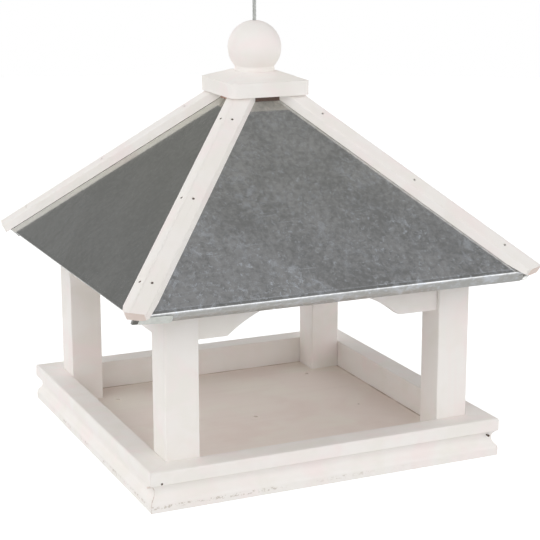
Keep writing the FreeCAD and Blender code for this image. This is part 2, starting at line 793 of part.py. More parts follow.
# fasteners, and the room that the sunk ones take
shank, head = "nail_diameter / 2", "nail_head / 2"
batten_nail = nail("batten_nail", shank, head, "nail_head_thickness", "batten_nail_length")
batten_nails = copies("batten_nails", batten_nail, hip_nail_places())
batten_pit = nail(
    "batten_pit", shank, head, "nail_head_thickness", "batten_nail_length", "4 * nail_head"
)
batten_holes = copies("batten_holes", batten_pit, hip_nail_places())
rail_head = "rail_nail_head / 2"
rail_nail = nail("rail_nail", shank, rail_head, "nail_head_thickness", "rail_nail_length")
rail_nails = copies("rail_nails", rail_nail, rail_nail_places())
rail_pit = nail(
    "rail_pit", shank, rail_head, "nail_head_thickness", "rail_nail_length", "4 * nail_sink"
)
rail_holes = copies("rail_holes", rail_pit, rail_nail_places())
floor_pins = copies("floor_pins", make_pin(), pin_places())
rafter_nail = nail("rafter_nail", shank, head, "nail_head_thickness", "rafter_nail_length")
rafter_nails = copies("rafter_nails", rafter_nail, rafter_nail_places())
rafter_pit = nail(
    "rafter_pit", shank, head, "nail_head_thickness", "rafter_nail_length", "4 * nail_head"
)
rafter_holes = copies("rafter_holes", rafter_pit, rafter_nail_places())


def make_screw():
    """A countersunk screw, its head's flat at the origin and its point below."""
    body = body_named("post_screw")
    half = sketch_on(body, "half", "XZ_Plane")
    core = "screw_diameter / 2"
    draw(half, [
        ("0", "-screw_length"),
        (core, "-screw_length + screw_diameter"),
        (core, "-screw_head_height"),
        ("screw_head / 2", "0"),
        ("0", "0"),
    ])
    revolve(body, half)
    return body


def make_dowel():
    """A dowel with its middle at the origin."""
    body = body_named("board_dowel")
    section = sketch_on(body, "section", "XY_Plane")
    draw_circle(section, "0", "0", "dowel_diameter / 2")
    pad(body, section, "dowel_length", both_ways=True)
    return body


post_screws = copies("post_screws", make_screw(), screw_places())
board_dowels = copies("board_dowels", make_dowel(), dowel_places())

# the pieces of the house
block_tool = hang(square_tool("block_tool", "block_half", "block_foot", "2 * block_height"))
cap_tool = hang(
    square_tool("cap_tool", "cap_width", "cap_level - roof_play", "2 * cap_width")
)
pieces = [cut("tray_floor", hang(make_floor()), post_screws, floor_pins)]
for index, side in enumerate(SIDES):
    turn = QUARTER * index
    rail = hang(make_rail(f"tray_rail_{side}"), turn)
    pieces.append(cut(f"tray_rail_{side}", rail, rail_holes, floor_pins))
    shift = "arch_shift" if side == "front" else "0"
    board = hang(make_board(f"arch_board_{side}", shift), turn)
    pieces.append(cut(f"arch_board_{side}", board, board_dowels))
    panel = hang(make_panel(f"roof_panel_{side}"), turn)
    pieces.append(cut(f"roof_panel_{side}", panel, batten_holes))
for index, corner in enumerate(CORNERS):
    turn = QUARTER * index
    post = hang(make_post(f"post_{corner}"), turn)
    holes = (post_screws, board_dowels, rafter_holes, batten_holes)
    pieces.append(cut(f"post_{corner}", post, *holes))
    post_tool = hang(
        square_tool(f"post_tool_{corner}", "post_width / 2", "0", "post_top", "post_middle"), turn
    )
    rafter = make_rafter(f"hip_rafter_{corner}", index)
    label = f"hip_rafter_{corner}"
    pieces.append(cut(label, rafter, block_tool, post_tool, batten_holes, rafter_holes))
    batten = make_batten(f"hip_batten_{corner}", index)
    pieces.append(cut(f"hip_batten_{corner}", batten, block_tool, cap_tool, batten_holes))
washer_disc = round_bar("washer_disc", "washer_foot", "washer_thickness", "washer_diameter")
washer_hole = round_bar("washer_hole", "washer_foot - rope_tail", "2 * block_height", "rope_bore")
pieces.append(cut("peak_block", make_block(), batten_holes))
pieces += [make_cap(), make_ball(), cut("stop_washer", washer_disc, washer_hole)]
pieces += [batten_nails, rail_nails, floor_pins, rafter_nails, post_screws, board_dowels]

# the wire rope and what is crimped on it
rope_foot = "stop_foot - rope_tail"
pieces += [
    round_bar("hanging_rope", "ball_top", "free_rope", "rope_diameter"),
    round_bar("rope_in_house", rope_foot, f"ball_top - ({rope_foot})", "rope_diameter"),
    make_eye(),
    make_sleeve(),
]
stop_bar = round_bar("stop_bar", "stop_foot", "stop_length", "stop_diameter")
stop_hole = round_bar("stop_hole", rope_foot, "2 * stop_length", "rope_diameter")
pieces.append(cut("rope_stop", stop_bar, stop_hole))

document.recompute()
faults = [
    item.Name
    for item in document.Objects
    if "Invalid" in item.State or "Error" in item.State
]
for piece in pieces:
    if piece.Shape.isNull() or not piece.Shape.isValid() or not piece.Shape.Solids:
        faults.append(piece.Label)
if faults:
    raise ValueError(f"these objects failed: {faults}")

os.makedirs("parts", exist_ok=True)
for piece in pieces:
    piece.Shape.exportStep(f"parts/{piece.Label}.step")
    box = piece.Shape.BoundBox
    solids = len(piece.Shape.Solids)
    print(f"{piece.Label}: {solids} solids, {piece.Shape.Volume / 1000:.1f} cm3, "
          f"z {box.ZMin:.1f} to {box.ZMax:.1f}")
print(f"{len(pieces)} pieces; the eye is {number('hook_level'):.3f} mm above the tray's underside")
print(f"the ball's top is {number('ball_top'):.1f} mm above it")
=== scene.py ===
# %% [markdown]
# # A hanging bird table
# The bird table is a square tray with moulded rails, four posts with arched boards between them,
# and a hipped roof of zinc-coated sheet with painted battens over its hips. It hangs by a wire
# rope that comes out of a turned ball. The carpenter's model is loaded as it is. This notebook
# photographs it: it sets the camera, makes the rope and the roof sheets by hand, and paints
# every piece with materials made of shader nodes.

import math

import bmesh
import bpy
from mathutils import Euler, Matrix, Vector


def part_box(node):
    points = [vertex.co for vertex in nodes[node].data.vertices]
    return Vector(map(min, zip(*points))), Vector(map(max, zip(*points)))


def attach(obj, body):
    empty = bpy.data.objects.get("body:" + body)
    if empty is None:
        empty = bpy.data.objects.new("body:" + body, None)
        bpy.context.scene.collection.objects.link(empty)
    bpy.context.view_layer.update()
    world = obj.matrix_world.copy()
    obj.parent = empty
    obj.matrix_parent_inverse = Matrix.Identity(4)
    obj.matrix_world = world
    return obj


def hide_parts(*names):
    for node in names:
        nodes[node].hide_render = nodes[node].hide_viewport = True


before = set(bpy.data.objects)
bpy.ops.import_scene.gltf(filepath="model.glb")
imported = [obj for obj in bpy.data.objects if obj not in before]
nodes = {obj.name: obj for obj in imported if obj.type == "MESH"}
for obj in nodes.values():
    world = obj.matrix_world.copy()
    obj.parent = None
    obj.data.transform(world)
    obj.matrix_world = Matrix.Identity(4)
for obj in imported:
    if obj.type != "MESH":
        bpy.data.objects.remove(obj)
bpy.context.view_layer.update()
print("pieces in the model:", len(nodes))

# %% [markdown]
# Blender measures in metres, and a carpenter in millimetres, so sizes are written as a number
# times `MM`. Heights are given from the underside of the tray, which is where `TRAY_FOOT` is:
# the origin of the scene is at the eye of the rope, above everything else. The roof's pitch,
# half width and eave are the carpenter's own. Corners are numbered from the front left one,
# which lies at 225 degrees, and go round anticlockwise.

# %% Units, and the levels that everything is placed by
MM = 0.001
TRAY_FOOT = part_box("tray_floor")[0].z
ROOF_PITCH = math.radians(41.75)
ROOF_HALF = 195 * MM
EAVE_LEVEL = TRAY_FOOT + 183.02 * MM
BLOCK_HALF = 30 * MM
SHEET_THICKNESS = 0.6 * MM
HIP_PITCH = math.atan(math.tan(ROOF_PITCH) / math.sqrt(2))
SIDES = ("front", "right", "back", "left")
CORNERS = ("front_left", "front_right", "back_right", "back_left")
QUARTER = math.radians(90)
FIRST_CORNER = math.radians(225)
print("the tray's underside is at", round(TRAY_FOOT, 4))

# %% [markdown]
# ## The camera
# The picture was taken from in front, a little from the left and a little from above, with a
# long lens. The camera's place was worked out from the corners of the tray, the posts and the
# roof. The picture was cropped off centre, which is what `shift_x` is for.

# %% Place the camera
CAMERA_PLACE = Vector((-0.60245, -1.37767, TRAY_FOOT + 0.52903))
CAMERA_TURN = (math.radians(90 - 13.7805), 0, math.radians(-25.294))
CAMERA_ROLL = 0.00369
FOCAL_PIXELS = 1578.7
PICTURE_SIDE = 540
CROP_PIXELS = -30
SENSOR_WIDTH = 36

camera_data = bpy.data.cameras.new("camera")
camera = bpy.data.objects.new("camera", camera_data)
bpy.context.scene.collection.objects.link(camera)
camera.location = CAMERA_PLACE
turned = Euler(CAMERA_TURN).to_matrix() @ Matrix.Rotation(CAMERA_ROLL, 3, "Z")
camera.rotation_euler = turned.to_euler()
camera_data.sensor_width = SENSOR_WIDTH
camera_data.lens = FOCAL_PIXELS / PICTURE_SIDE * SENSOR_WIDTH
camera_data.shift_x = CROP_PIXELS / PICTURE_SIDE
bpy.context.scene.camera = camera
print("lens:", round(camera_data.lens, 1), "mm")

# %% [markdown]
# ## Helpers for modelling
# Blender's operators act on whatever is selected, and the loaded pieces are selected after
# loading. So each piece starts by deselecting everything, and in edit mode the faces, edges or
# corners to work on are picked by a test of their place.

# %% Select by place, and finish a piece
def deselect():
    bpy.ops.object.select_all(action="DESELECT")


def make_active(piece):
    deselect()
    piece.select_set(True)
    bpy.context.view_layer.objects.active = piece


def pick(piece, kind, wanted):
    """In edit mode, selects only the parts of that kind whose middle passes the test."""
    bpy.ops.mesh.select_mode(type=kind)
    bpy.ops.mesh.select_all(action="DESELECT")
    mesh = bmesh.from_edit_mesh(piece.data)
    parts = {"VERT": mesh.verts, "EDGE": mesh.edges, "FACE": mesh.faces}[kind]
    for part in parts:
        corners = [part] if kind == "VERT" else list(part.verts)
        middle = sum((corner.co for corner in corners), Vector()) / len(corners)
        part.select_set(wanted(middle))
    mesh.select_flush_mode()
    bmesh.update_edit_mesh(piece.data)


def apply_modifiers(piece):
    make_active(piece)
    for modifier in list(piece.modifiers):
        bpy.ops.object.modifier_apply(modifier=modifier.name)


def settle(piece, name):
    """Puts the piece's place into its mesh, so that its object sits at the origin."""
    make_active(piece)
    bpy.ops.object.transform_apply(location=True, rotation=True, scale=True)
    piece.name = name
    piece.data.name = name
    return piece


# %% [markdown]
# ## The wire rope
# The table hangs by a wire rope of 3.6 mm. Such a rope has six strands laid round a core, and
# each strand is itself twisted from wires. A plain tube would look like plastic, so each strand
# is a curve that winds round the rope's route, with a lobed outline that is turned as it goes.
# The stretch that hangs free is 34 mm long, from the top of the ball to the crimped sleeve.

# %% Read a route as evenly spaced points
def route_curve(name, points):
    """A smooth open spline with these control points."""
    data = bpy.data.curves.new(name, "CURVE")
    data.dimensions = "3D"
    spline = data.splines.new("NURBS")
    spline.points.add(len(points) - 1)
    for point, place in zip(spline.points, points):
        point.co = (*place, 1)
    spline.order_u = 3
    spline.use_endpoint_u = True
    data.resolution_u = 24
    return bpy.data.objects.new(name, data)


def points_along(curve, step):
    """Points along a curve with no bevel, as far apart as step."""
    bpy.context.scene.collection.objects.link(curve)
    bpy.context.view_layer.update()
    line = bpy.data.meshes.new_from_object(curve)
    rough = [vertex.co.copy() for vertex in line.vertices]
    bpy.data.meshes.remove(line)
    bpy.data.objects.remove(curve)
    reach = [0.0]
    for start, end in zip(rough, rough[1:]):
        reach.append(reach[-1] + (end - start).length)
    count = max(2, round(reach[-1] / step))
    places, index = [], 0
    for number in range(count + 1):
        wanted = reach[-1] * number / count
        while index < len(rough) - 2 and reach[index + 1] < wanted:
            index += 1
        share = (wanted - reach[index]) / max(reach[index + 1] - reach[index], 1e-9)
        places.append(rough[index].lerp(rough[index + 1], share))
    return places


# %% Lay strands round a route
ROPE_DIAMETER = 3.6 * MM
STRAND_RADIUS = ROPE_DIAMETER / 6
ROPE_LAY = 24 * MM
WIRE_LAY = 9 * MM
STRANDS = 6
WIRES = 6
POINTS_PER_WIRE = 4
ROPE_STEP = 0.8 * MM
INNER_STEP = 1.2 * MM


def strand_outline():
    """The lobed outline of one strand, six wires round a seventh."""
    data = bpy.data.curves.new("strand_outline", "CURVE")
    data.dimensions = "2D"
    spline = data.splines.new("POLY")
    count = WIRES * POINTS_PER_WIRE
    spline.points.add(count - 1)
    for index, point in enumerate(spline.points):
        angle = 2 * math.pi * index / count
        radius = STRAND_RADIUS * (0.82 + 0.18 * abs(math.cos(WIRES / 2 * angle)))
        point.co = (radius * math.cos(angle), radius * math.sin(angle), 0, 1)
    spline.use_cyclic_u = True
    return bpy.data.objects.new("strand_outline", data)


def strand(line, phase, ring, outline):
    """One strand that winds round the line, which lies in a plane of constant Y."""
    data = bpy.data.curves.new("strand", "CURVE")
    data.dimensions = "3D"
    data.bevel_mode = "OBJECT"
    data.bevel_object = outline
    data.use_fill_caps = True
    spline = data.splines.new("POLY")
    spline.points.add(len(line) - 1)
    travelled = 0.0
    for index, place in enumerate(line):
        ahead = line[min(index + 1, len(line) - 1)] - line[max(index - 1, 0)]
        across = ahead.normalized().cross(Vector((0, 1, 0)))
        if index:
            travelled += (place - line[index - 1]).length
        angle = 2 * math.pi * travelled / ROPE_LAY + phase
        offset = Vector((0, 1, 0)) * math.cos(angle) + across * math.sin(angle)
        spline.points[index].co = (*(place + ring * offset), 1)
        spline.points[index].tilt = -2 * math.pi * travelled / WIRE_LAY
    return bpy.data.objects.new("strand", data)


def lay_rope(name, line):
    """A rope of six strands round a core, as one mesh."""
    outline = strand_outline()
    bpy.context.scene.collection.objects.link(outline)
    phases = [2 * math.pi * index / STRANDS for index in range(STRANDS)]
    curves = [strand(line, phase, 2 * STRAND_RADIUS, outline) for phase in phases]
    curves.append(strand(line, 0, 0, outline))
    deselect()
    for curve in curves:
        bpy.context.scene.collection.objects.link(curve)
        curve.select_set(True)
    bpy.context.view_layer.objects.active = curves[0]
    bpy.ops.object.convert(target="MESH")
    bpy.ops.object.join()
    rope = bpy.context.view_layer.objects.active
    bpy.data.objects.remove(outline)
    make_active(rope)
    bpy.ops.object.mode_set(mode="EDIT")
    bpy.ops.mesh.select_all(action="SELECT")
    bpy.ops.mesh.remove_doubles(threshold=0.005 * MM)
    bpy.ops.mesh.normals_make_consistent(inside=False)
    bpy.ops.object.mode_set(mode="OBJECT")
    bpy.ops.object.shade_smooth_by_angle(angle=math.radians(70))
    return settle(rope, name)


# %% The free stretch of rope
rope_low, rope_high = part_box("hanging_rope")
rope_start = Vector((0, 0, rope_low.z))
rope_end = Vector((0, 0, rope_high.z))
route = [rope_start.lerp(rope_end, share) for share in (0, 1 / 3, 2 / 3, 1)]
rope_line = points_along(route_curve("rope_route", route), ROPE_STEP)
free_rope = lay_rope("stranded_rope", rope_line)
print("free rope:", round((rope_end - rope_start).length / MM, 1), "mm,",
      len(free_rope.data.polygons), "faces")

# %% [markdown]
# The rope also runs down inside the house to its stop, and back into the sleeve as an eye. The
# eye's two legs part above the sleeve and close in a round top. The eye is drawn as a Bezier
# curve through the middle of the rope, and the same strands are laid along it.

# %% The rope inside the house, and the eye
inner_low, inner_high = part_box("rope_in_house")
inner_route = [Vector((0, 0, inner_low.z)), Vector((0, 0, (inner_low.z + inner_high.z) / 2)),
               Vector((0, 0, inner_high.z))]
inner_rope = lay_rope("stranded_rope_inside", points_along(route_curve("inner", inner_route),
                                                           INNER_STEP))
print("rope in the house:", len(inner_rope.data.polygons), "faces")

EYE_RADIUS = 8 * MM
QUARTER_ARM = 0.5523  # a Bezier handle of this many radii draws a quarter of a circle
HALF_LEG_GAP = 0.15 * MM
LEG_OFFSET = ROPE_DIAMETER / 2 + HALF_LEG_GAP
eye_low, eye_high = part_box("rope_eye")
eye_middle = eye_high.z - ROPE_DIAMETER / 2 - EYE_RADIUS


def eye_curve():
    """The eye as a Bezier curve: up one leg, round the top and down the other."""
    deselect()
    bpy.ops.curve.primitive_bezier_curve_add()
    curve = bpy.context.object
    spline = curve.data.splines[0]
    spline.bezier_points.add(5)
    rise = eye_middle - eye_low.z
    half_way = Vector(((LEG_OFFSET + EYE_RADIUS) / 2, 0, eye_low.z + rise / 2))
    reach = QUARTER_ARM * EYE_RADIUS
    turn = math.acos(1 - (half_way.x - LEG_OFFSET) / EYE_RADIUS)
    heading = Vector((math.sin(turn), 0, math.cos(turn)))
    arm = 4 / 3 * math.tan(turn / 4) * EYE_RADIUS
    points = [
        (Vector((LEG_OFFSET, 0, eye_low.z)), Vector((0, 0, 1)), arm, arm),
        (half_way, heading, arm, arm),
        (Vector((EYE_RADIUS, 0, eye_middle)), Vector((0, 0, 1)), arm, reach),
        (Vector((0, 0, eye_middle + EYE_RADIUS)), Vector((-1, 0, 0)), reach, reach),
        (Vector((-EYE_RADIUS, 0, eye_middle)), Vector((0, 0, -1)), reach, arm),
        (Vector((-half_way.x, 0, half_way.z)), Vector((heading.x, 0, -heading.z)), arm, arm),
        (Vector((-LEG_OFFSET, 0, eye_low.z)), Vector((0, 0, -1)), arm, arm),
    ]
    for point, (place, along, before, after) in zip(spline.bezier_points, points):
        point.handle_left_type = "FREE"
        point.handle_right_type = "FREE"
        point.co = place
        point.handle_left = place - along * before
        point.handle_right = place + along * after
    curve.data.resolution_u = 24
    bpy.context.collection.objects.unlink(curve)
    return curve


eye = lay_rope("stranded_eye", points_along(eye_curve(), ROPE_STEP))
eye_top = max(vertex.co.z for vertex in eye.data.vertices)
print("eye's top:", round(eye_top / MM, 2), "mm, the model's:", round(eye_high.z / MM, 2))

# %% [markdown]
# Each piece made here is attached to the body that it moves with, and the rope stays with the
# hook while the house turns under it. The plain solid that it stands for is hidden.

# %% Hang the rope in place of its plain model
for rope, plain_name in ((free_rope, "hanging_rope"), (inner_rope, "rope_in_house"),
                         (eye, "rope_eye")):
    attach(rope, "hanger")
    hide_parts(plain_name)

# %% [markdown]
# ## The roof sheets
# Each roof face is one sheet, folded at the eave into a lip. No two folds are alike, as sheet
# folded by hand is: the lips differ in depth, and the left one is pressed in under the roof. So
# the sheets are modelled here. A plane is laid at the roof's pitch, its lower edge is extruded
# into the lip, the fold is bevelled, and two bisecting cuts trim it to the hips. Solidify gives
# it thickness.

# %% Directions on a lip, and the cuts at the hips
FOLD_RADIUS = {"front": 1.8 * MM, "right": 1.6 * MM, "back": 1.6 * MM, "left": 0.9 * MM}
PRESSED_IN = {"front": 0, "right": math.radians(2), "back": math.radians(4),
              "left": math.radians(20)}
FOLD_STEPS = 6
SHEET_GAP = 0.3 * MM
LIP_DEPTH = {"front_left": 11.6 * MM, "front_right": 14.0 * MM,
             "back_right": 12.6 * MM, "back_left": 13.2 * MM}
UP_SLOPE = Vector((0, math.cos(ROOF_PITCH), math.sin(ROOF_PITCH)))


def lip_directions(pressed_in):
    """Down a lip that faces the front, and straight out of it."""
    lean_in, lean_down = math.sin(ROOF_PITCH + pressed_in), math.cos(ROOF_PITCH + pressed_in)
    return Vector((0, lean_in, -lean_down)), Vector((0, -lean_down, -lean_in))


def cut_at_hips():
    """Trims what is being edited to the quarter of the roof that faces the front."""
    for across in (1, -1):
        bpy.ops.mesh.select_all(action="SELECT")
        bpy.ops.mesh.bisect(plane_co=(across * SHEET_GAP, 0, 0), plane_no=(across, -1, 0),
                            clear_inner=True)


# %% Make a roof sheet facing the front
def thicken(piece, direction):
    """Turns the faces towards the direction, and gives them thickness on the other side."""
    if sum(face.normal.dot(direction) * face.area for face in piece.data.polygons) < 0:
        piece.data.flip_normals()
    thick = piece.modifiers.new("thickness", "SOLIDIFY")
    thick.thickness = SHEET_THICKNESS
    thick.offset = -1
    thick.use_even_offset = True


def make_sheet(side, left_lip, right_lip):
    run = (ROOF_HALF - BLOCK_HALF - SHEET_GAP) / math.cos(ROOF_PITCH)
    eave = Vector((0, -ROOF_HALF, EAVE_LEVEL))
    down_lip = lip_directions(PRESSED_IN[side])[0]
    deselect()
    bpy.ops.mesh.primitive_plane_add(size=1, location=eave + UP_SLOPE * run / 2,
                                     rotation=(ROOF_PITCH, 0, 0))
    sheet = bpy.context.object
    sheet.scale = (2 * ROOF_HALF, run, 1)
    settle(sheet, "roof_sheet")
    bpy.ops.object.mode_set(mode="EDIT")
    pick(sheet, "EDGE", lambda middle: middle.z < EAVE_LEVEL + 1 * MM)
    mean = (left_lip + right_lip) / 2
    bpy.ops.mesh.extrude_region_move(TRANSFORM_OT_translate={"value": down_lip * mean})
    for end, depth in ((-1, left_lip), (1, right_lip)):
        pick(sheet, "VERT", lambda place: place.z < EAVE_LEVEL - 1 * MM and place.x * end > 0)
        bpy.ops.transform.translate(value=down_lip * (depth - mean))
    pick(sheet, "EDGE", lambda middle: abs(middle.y + ROOF_HALF) < 0.1 * MM)
    bpy.ops.mesh.bevel(offset=FOLD_RADIUS[side], segments=FOLD_STEPS, affect="EDGES")
    cut_at_hips()
    bpy.ops.mesh.select_all(action="SELECT")
    bpy.ops.mesh.normals_make_consistent(inside=False)
    bpy.ops.object.mode_set(mode="OBJECT")
    thicken(sheet, Vector((0, 0, 1)))
    apply_modifiers(sheet)
    return sheet


# %% [markdown]
# At its right-hand corner each sheet has a narrow tab. It goes round the corner and is pressed
# flat on the next sheet's lip, where it ends in a rounded tongue. It is a strip of the same
# sheet: a small plane with two corners bevelled round, extruded twice round the corner.

# %% Make the tab that wraps the next lip
TAB_LENGTH = 30 * MM
TAB_WIDTH = 9 * MM
TAB_START = -188.4 * MM
TAB_DROP = 1.4 * MM
TAB_LIFT = 0.75 * MM
TAB_FLARE = 1.4 * MM
TAB_ROUND = 3.2 * MM
TAB_EDGE = 0.12 * MM
ROUND_THE_CORNER = (-4.6 * MM, 1.2 * MM, 0)
BEHIND_THE_CORNER = (0.4 * MM, 5 * MM, 0)
NEAR = 0.5 * MM


def make_tab(pressed_in, flare):
    """The tab as it lies over the left end of a lip that faces the front."""
    down, out = lip_directions(pressed_in)
    corner = Vector((0, -ROOF_HALF, EAVE_LEVEL))

    def lip_shade(across, below, off):
        return corner + Vector((across, 0, 0)) + down * below + out * off

    end = TAB_START + TAB_LENGTH
    top = 1 * MM
    outline = {
        (-1, 1): lip_shade(TAB_START, top, TAB_LIFT),
        (-1, -1): lip_shade(TAB_START, top + TAB_WIDTH, TAB_LIFT),
        (1, 1): lip_shade(end, top + TAB_DROP, TAB_LIFT),
        (1, -1): lip_shade(end, top + TAB_DROP + TAB_WIDTH, TAB_LIFT + flare),
    }
    deselect()
    bpy.ops.mesh.primitive_plane_add(size=2, rotation=(QUARTER, 0, 0))
    tab = settle(bpy.context.object, "tab")
    for vertex in tab.data.vertices:
        vertex.co = outline[(round(vertex.co.x), round(vertex.co.z))]
    bpy.ops.object.mode_set(mode="EDIT")
    pick(tab, "VERT", lambda place: place.x > end - NEAR)
    bpy.ops.mesh.bevel(offset=TAB_ROUND, segments=4, affect="VERTICES")
    pick(tab, "EDGE", lambda middle: middle.x < TAB_START + NEAR)
    for step in (ROUND_THE_CORNER, BEHIND_THE_CORNER):
        bpy.ops.mesh.extrude_region_move(TRANSFORM_OT_translate={"value": step})
    bpy.ops.mesh.select_all(action="SELECT")
    bpy.ops.mesh.normals_make_consistent(inside=False)
    bpy.ops.object.mode_set(mode="OBJECT")
    thicken(tab, Vector((0, -1, 0)))
    round_off = tab.modifiers.new("edges", "BEVEL")
    round_off.width = TAB_EDGE
    round_off.segments = 1
    apply_modifiers(tab)
    return tab


# %% Four sheets, each with its tab
def turn_piece(piece, quarters):
    piece.rotation_euler = (0, 0, QUARTER * quarters)
    make_active(piece)
    bpy.ops.object.transform_apply(location=True, rotation=True, scale=True)


sheets = {}
for index, side in enumerate(SIDES):
    left_corner, right_corner = CORNERS[index], CORNERS[(index + 1) % 4]
    sheet = make_sheet(side, LIP_DEPTH[left_corner], LIP_DEPTH[right_corner])
    sheet_faces = len(sheet.data.polygons)
    turn_piece(sheet, index)
    wrapped = SIDES[(index + 1) % 4]
    tab = make_tab(PRESSED_IN[wrapped], 0 if wrapped == "left" else TAB_FLARE)
    turn_piece(tab, index + 1)
    make_active(sheet)
    tab.select_set(True)
    bpy.ops.object.join()
    bpy.ops.object.shade_smooth_by_angle(angle=math.radians(35))
    sheets[side] = (settle(sheet, f"roof_sheet_{side}"), sheet_faces)
    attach(sheet, "house")
    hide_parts(f"roof_panel_{side}")
print("roof sheets:", [len(sheet.data.polygons) for sheet, _ in sheets.values()])

# %% [markdown]
# ## Two worn batten tips
# The two front battens have lost one corner of their lower ends. Their solids are still whole,
# so each is copied, its loose triangles are merged, and three bisecting cuts round the corner.
# The outline of the corner is given as points: so far up from the tip, and so far in. One more
# cut makes the tip thinner from below, where it was planed to clear the tabs.

# %% Round one corner of a batten's tip
TIP_OUTLINE = ((14, 0), (7, 2.6), (2.6, 6.6), (0, 11))
TAPER_LENGTH = 26 * MM
TAPER_DEPTH = 3 * MM


def hip_axes(index):
    """Down the hip of that corner, and level to its left as one looks up the hip."""
    turn = FIRST_CORNER + QUARTER * index
    level = Vector((math.cos(turn), math.sin(turn), 0))
    down = level * math.cos(HIP_PITCH) - Vector((0, 0, math.sin(HIP_PITCH)))
    return down, Vector((math.sin(turn), -math.cos(turn), 0))


def round_tip(corner, side):
    """A copy of the batten without its left corner (side 1) or its right one (side -1)."""
    down, left = hip_axes(CORNERS.index(corner))
    outward = left * side
    plain = nodes[f"hip_batten_{corner}"]
    batten = bpy.data.objects.new(f"worn_batten_{corner}", plain.data.copy())
    bpy.context.scene.collection.objects.link(batten)
    make_active(batten)
    reach_down = max(vertex.co.dot(down) for vertex in batten.data.vertices)
    reach_out = max(vertex.co.dot(outward) for vertex in batten.data.vertices)
    outline = [down * (reach_down - back * MM) + outward * (reach_out - inside * MM)
               for back, inside in TIP_OUTLINE]
    cuts = []
    for start, end in zip(outline, outline[1:]):
        along = end - start
        cuts.append((start, down * -along.dot(outward) + outward * along.dot(down)))
    up = left.cross(down)
    lowest = min(vertex.co.dot(up) for vertex in batten.data.vertices)
    cuts.append((down * (reach_down - TAPER_LENGTH) + up * lowest,
                 down * TAPER_DEPTH - up * TAPER_LENGTH))
    bpy.ops.object.mode_set(mode="EDIT")
    bpy.ops.mesh.select_all(action="SELECT")
    bpy.ops.mesh.remove_doubles(threshold=0.001 * MM)
    for place, facing in cuts:
        bpy.ops.mesh.select_all(action="SELECT")
        bpy.ops.mesh.bisect(plane_co=place, plane_no=facing.normalized(), use_fill=True,
                            clear_outer=True)
    bpy.ops.object.mode_set(mode="OBJECT")
    bpy.ops.object.shade_flat()
    return settle(batten, f"worn_batten_{corner}")


worn_battens = {"front_left": round_tip("front_left", 1),
                "front_right": round_tip("front_right", -1)}
for corner, batten in worn_battens.items():
    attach(batten, "house")
    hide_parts(f"hip_batten_{corner}")
print("worn battens:", [len(batten.data.polygons) for batten in worn_battens.values()])

# %% [markdown]
# ## Materials
# A shader is a small graph of nodes. `add_node` makes one node and joins it up in one line. What
# several materials need, such as wood grain or rubbed edges, is a node group: a box of nodes
# with named inputs and outputs that is made once and used with different values.

# %% Helpers for shader nodes
def linear(red, green, blue):
    """A colour given as 0 to 255 on a screen, as the light that it stands for."""
    values = [value / 255 for value in (red, green, blue)]
    light = [v / 12.92 if v <= 0.04045 else ((v + 0.055) / 1.055) ** 2.4 for v in values]
    return (*light, 1)


def fill_socket(tree, socket, value):
    """Joins the socket to another one, or sets it to a plain value."""
    if isinstance(value, bpy.types.NodeSocket):
        tree.links.new(value, socket)
    else:
        socket.default_value = value


def add_node(tree, kind, inputs=None, **settings):
    """Adds a node, sets its options, and gives each input a value or joins it to a socket."""
    made = tree.nodes.new(f"ShaderNode{kind}")
    for name, value in settings.items():
        setattr(made, name, value)
    for name, value in (inputs or {}).items():
        fill_socket(tree, made.inputs[name], value)
    return made


def new_group(name, inputs, outputs):
    """A node group with inputs {name: (kind, default)} and outputs {name: kind}."""
    tree = bpy.data.node_groups.new(name, "ShaderNodeTree")
    for label, (kind, default) in inputs.items():
        socket = tree.interface.new_socket(label, in_out="INPUT", socket_type=f"NodeSocket{kind}")
        if default is not None:
            socket.default_value = default
    for label, kind in outputs.items():
        tree.interface.new_socket(label, in_out="OUTPUT", socket_type=f"NodeSocket{kind}")
    start = tree.nodes.new("NodeGroupInput")
    end = tree.nodes.new("NodeGroupOutput")
    return tree, start.outputs, end.inputs


# %% Noise, arithmetic and blends
def scaled(tree, vector, scale):
    return add_node(tree, "VectorMath", {0: vector, 1: scale}, operation="MULTIPLY").outputs[0]


def noise(tree, vector, scale, detail=3.0, roughness=0.55, distortion=0.0):
    made = add_node(tree, "TexNoise", {"Vector": vector, "Scale": scale, "Detail": detail,
                                       "Roughness": roughness, "Distortion": distortion})
    return made.outputs["Fac"]


def math_node(tree, operation, first, second=0.0, clamp=False):
    made = add_node(tree, "Math", {0: first, 1: second}, operation=operation, use_clamp=clamp)
    return made.outputs[0]


def plus(tree, first, second):
    return math_node(tree, "ADD", first, second)


def minus(tree, first, second):
    return math_node(tree, "SUBTRACT", first, second)


def times(tree, first, second, clamp=False):
    return math_node(tree, "MULTIPLY", first, second, clamp)


def absolute(tree, value):
    return math_node(tree, "ABSOLUTE", value)


def remap(tree, value, low, high, to_low=0.0, to_high=1.0):
    made = add_node(tree, "MapRange", {"Value": value, "From Min": low, "From Max": high,
                                       "To Min": to_low, "To Max": to_high})
    made.interpolation_type = "SMOOTHSTEP"
    return made.outputs["Result"]


def blend_colours(tree, share, first, second, mode="MIX"):
    made = add_node(tree, "Mix", {"Factor": share}, data_type="RGBA", blend_type=mode)
    fill_socket(tree, made.inputs[6], first)
    fill_socket(tree, made.inputs[7], second)
    return made.outputs[2]


def layered(tree, colour, layers):
    """Lays colours over the first one, each as strongly as its mask says."""
    for mask, over in layers:
        colour = blend_colours(tree, mask, colour, over)
    return colour


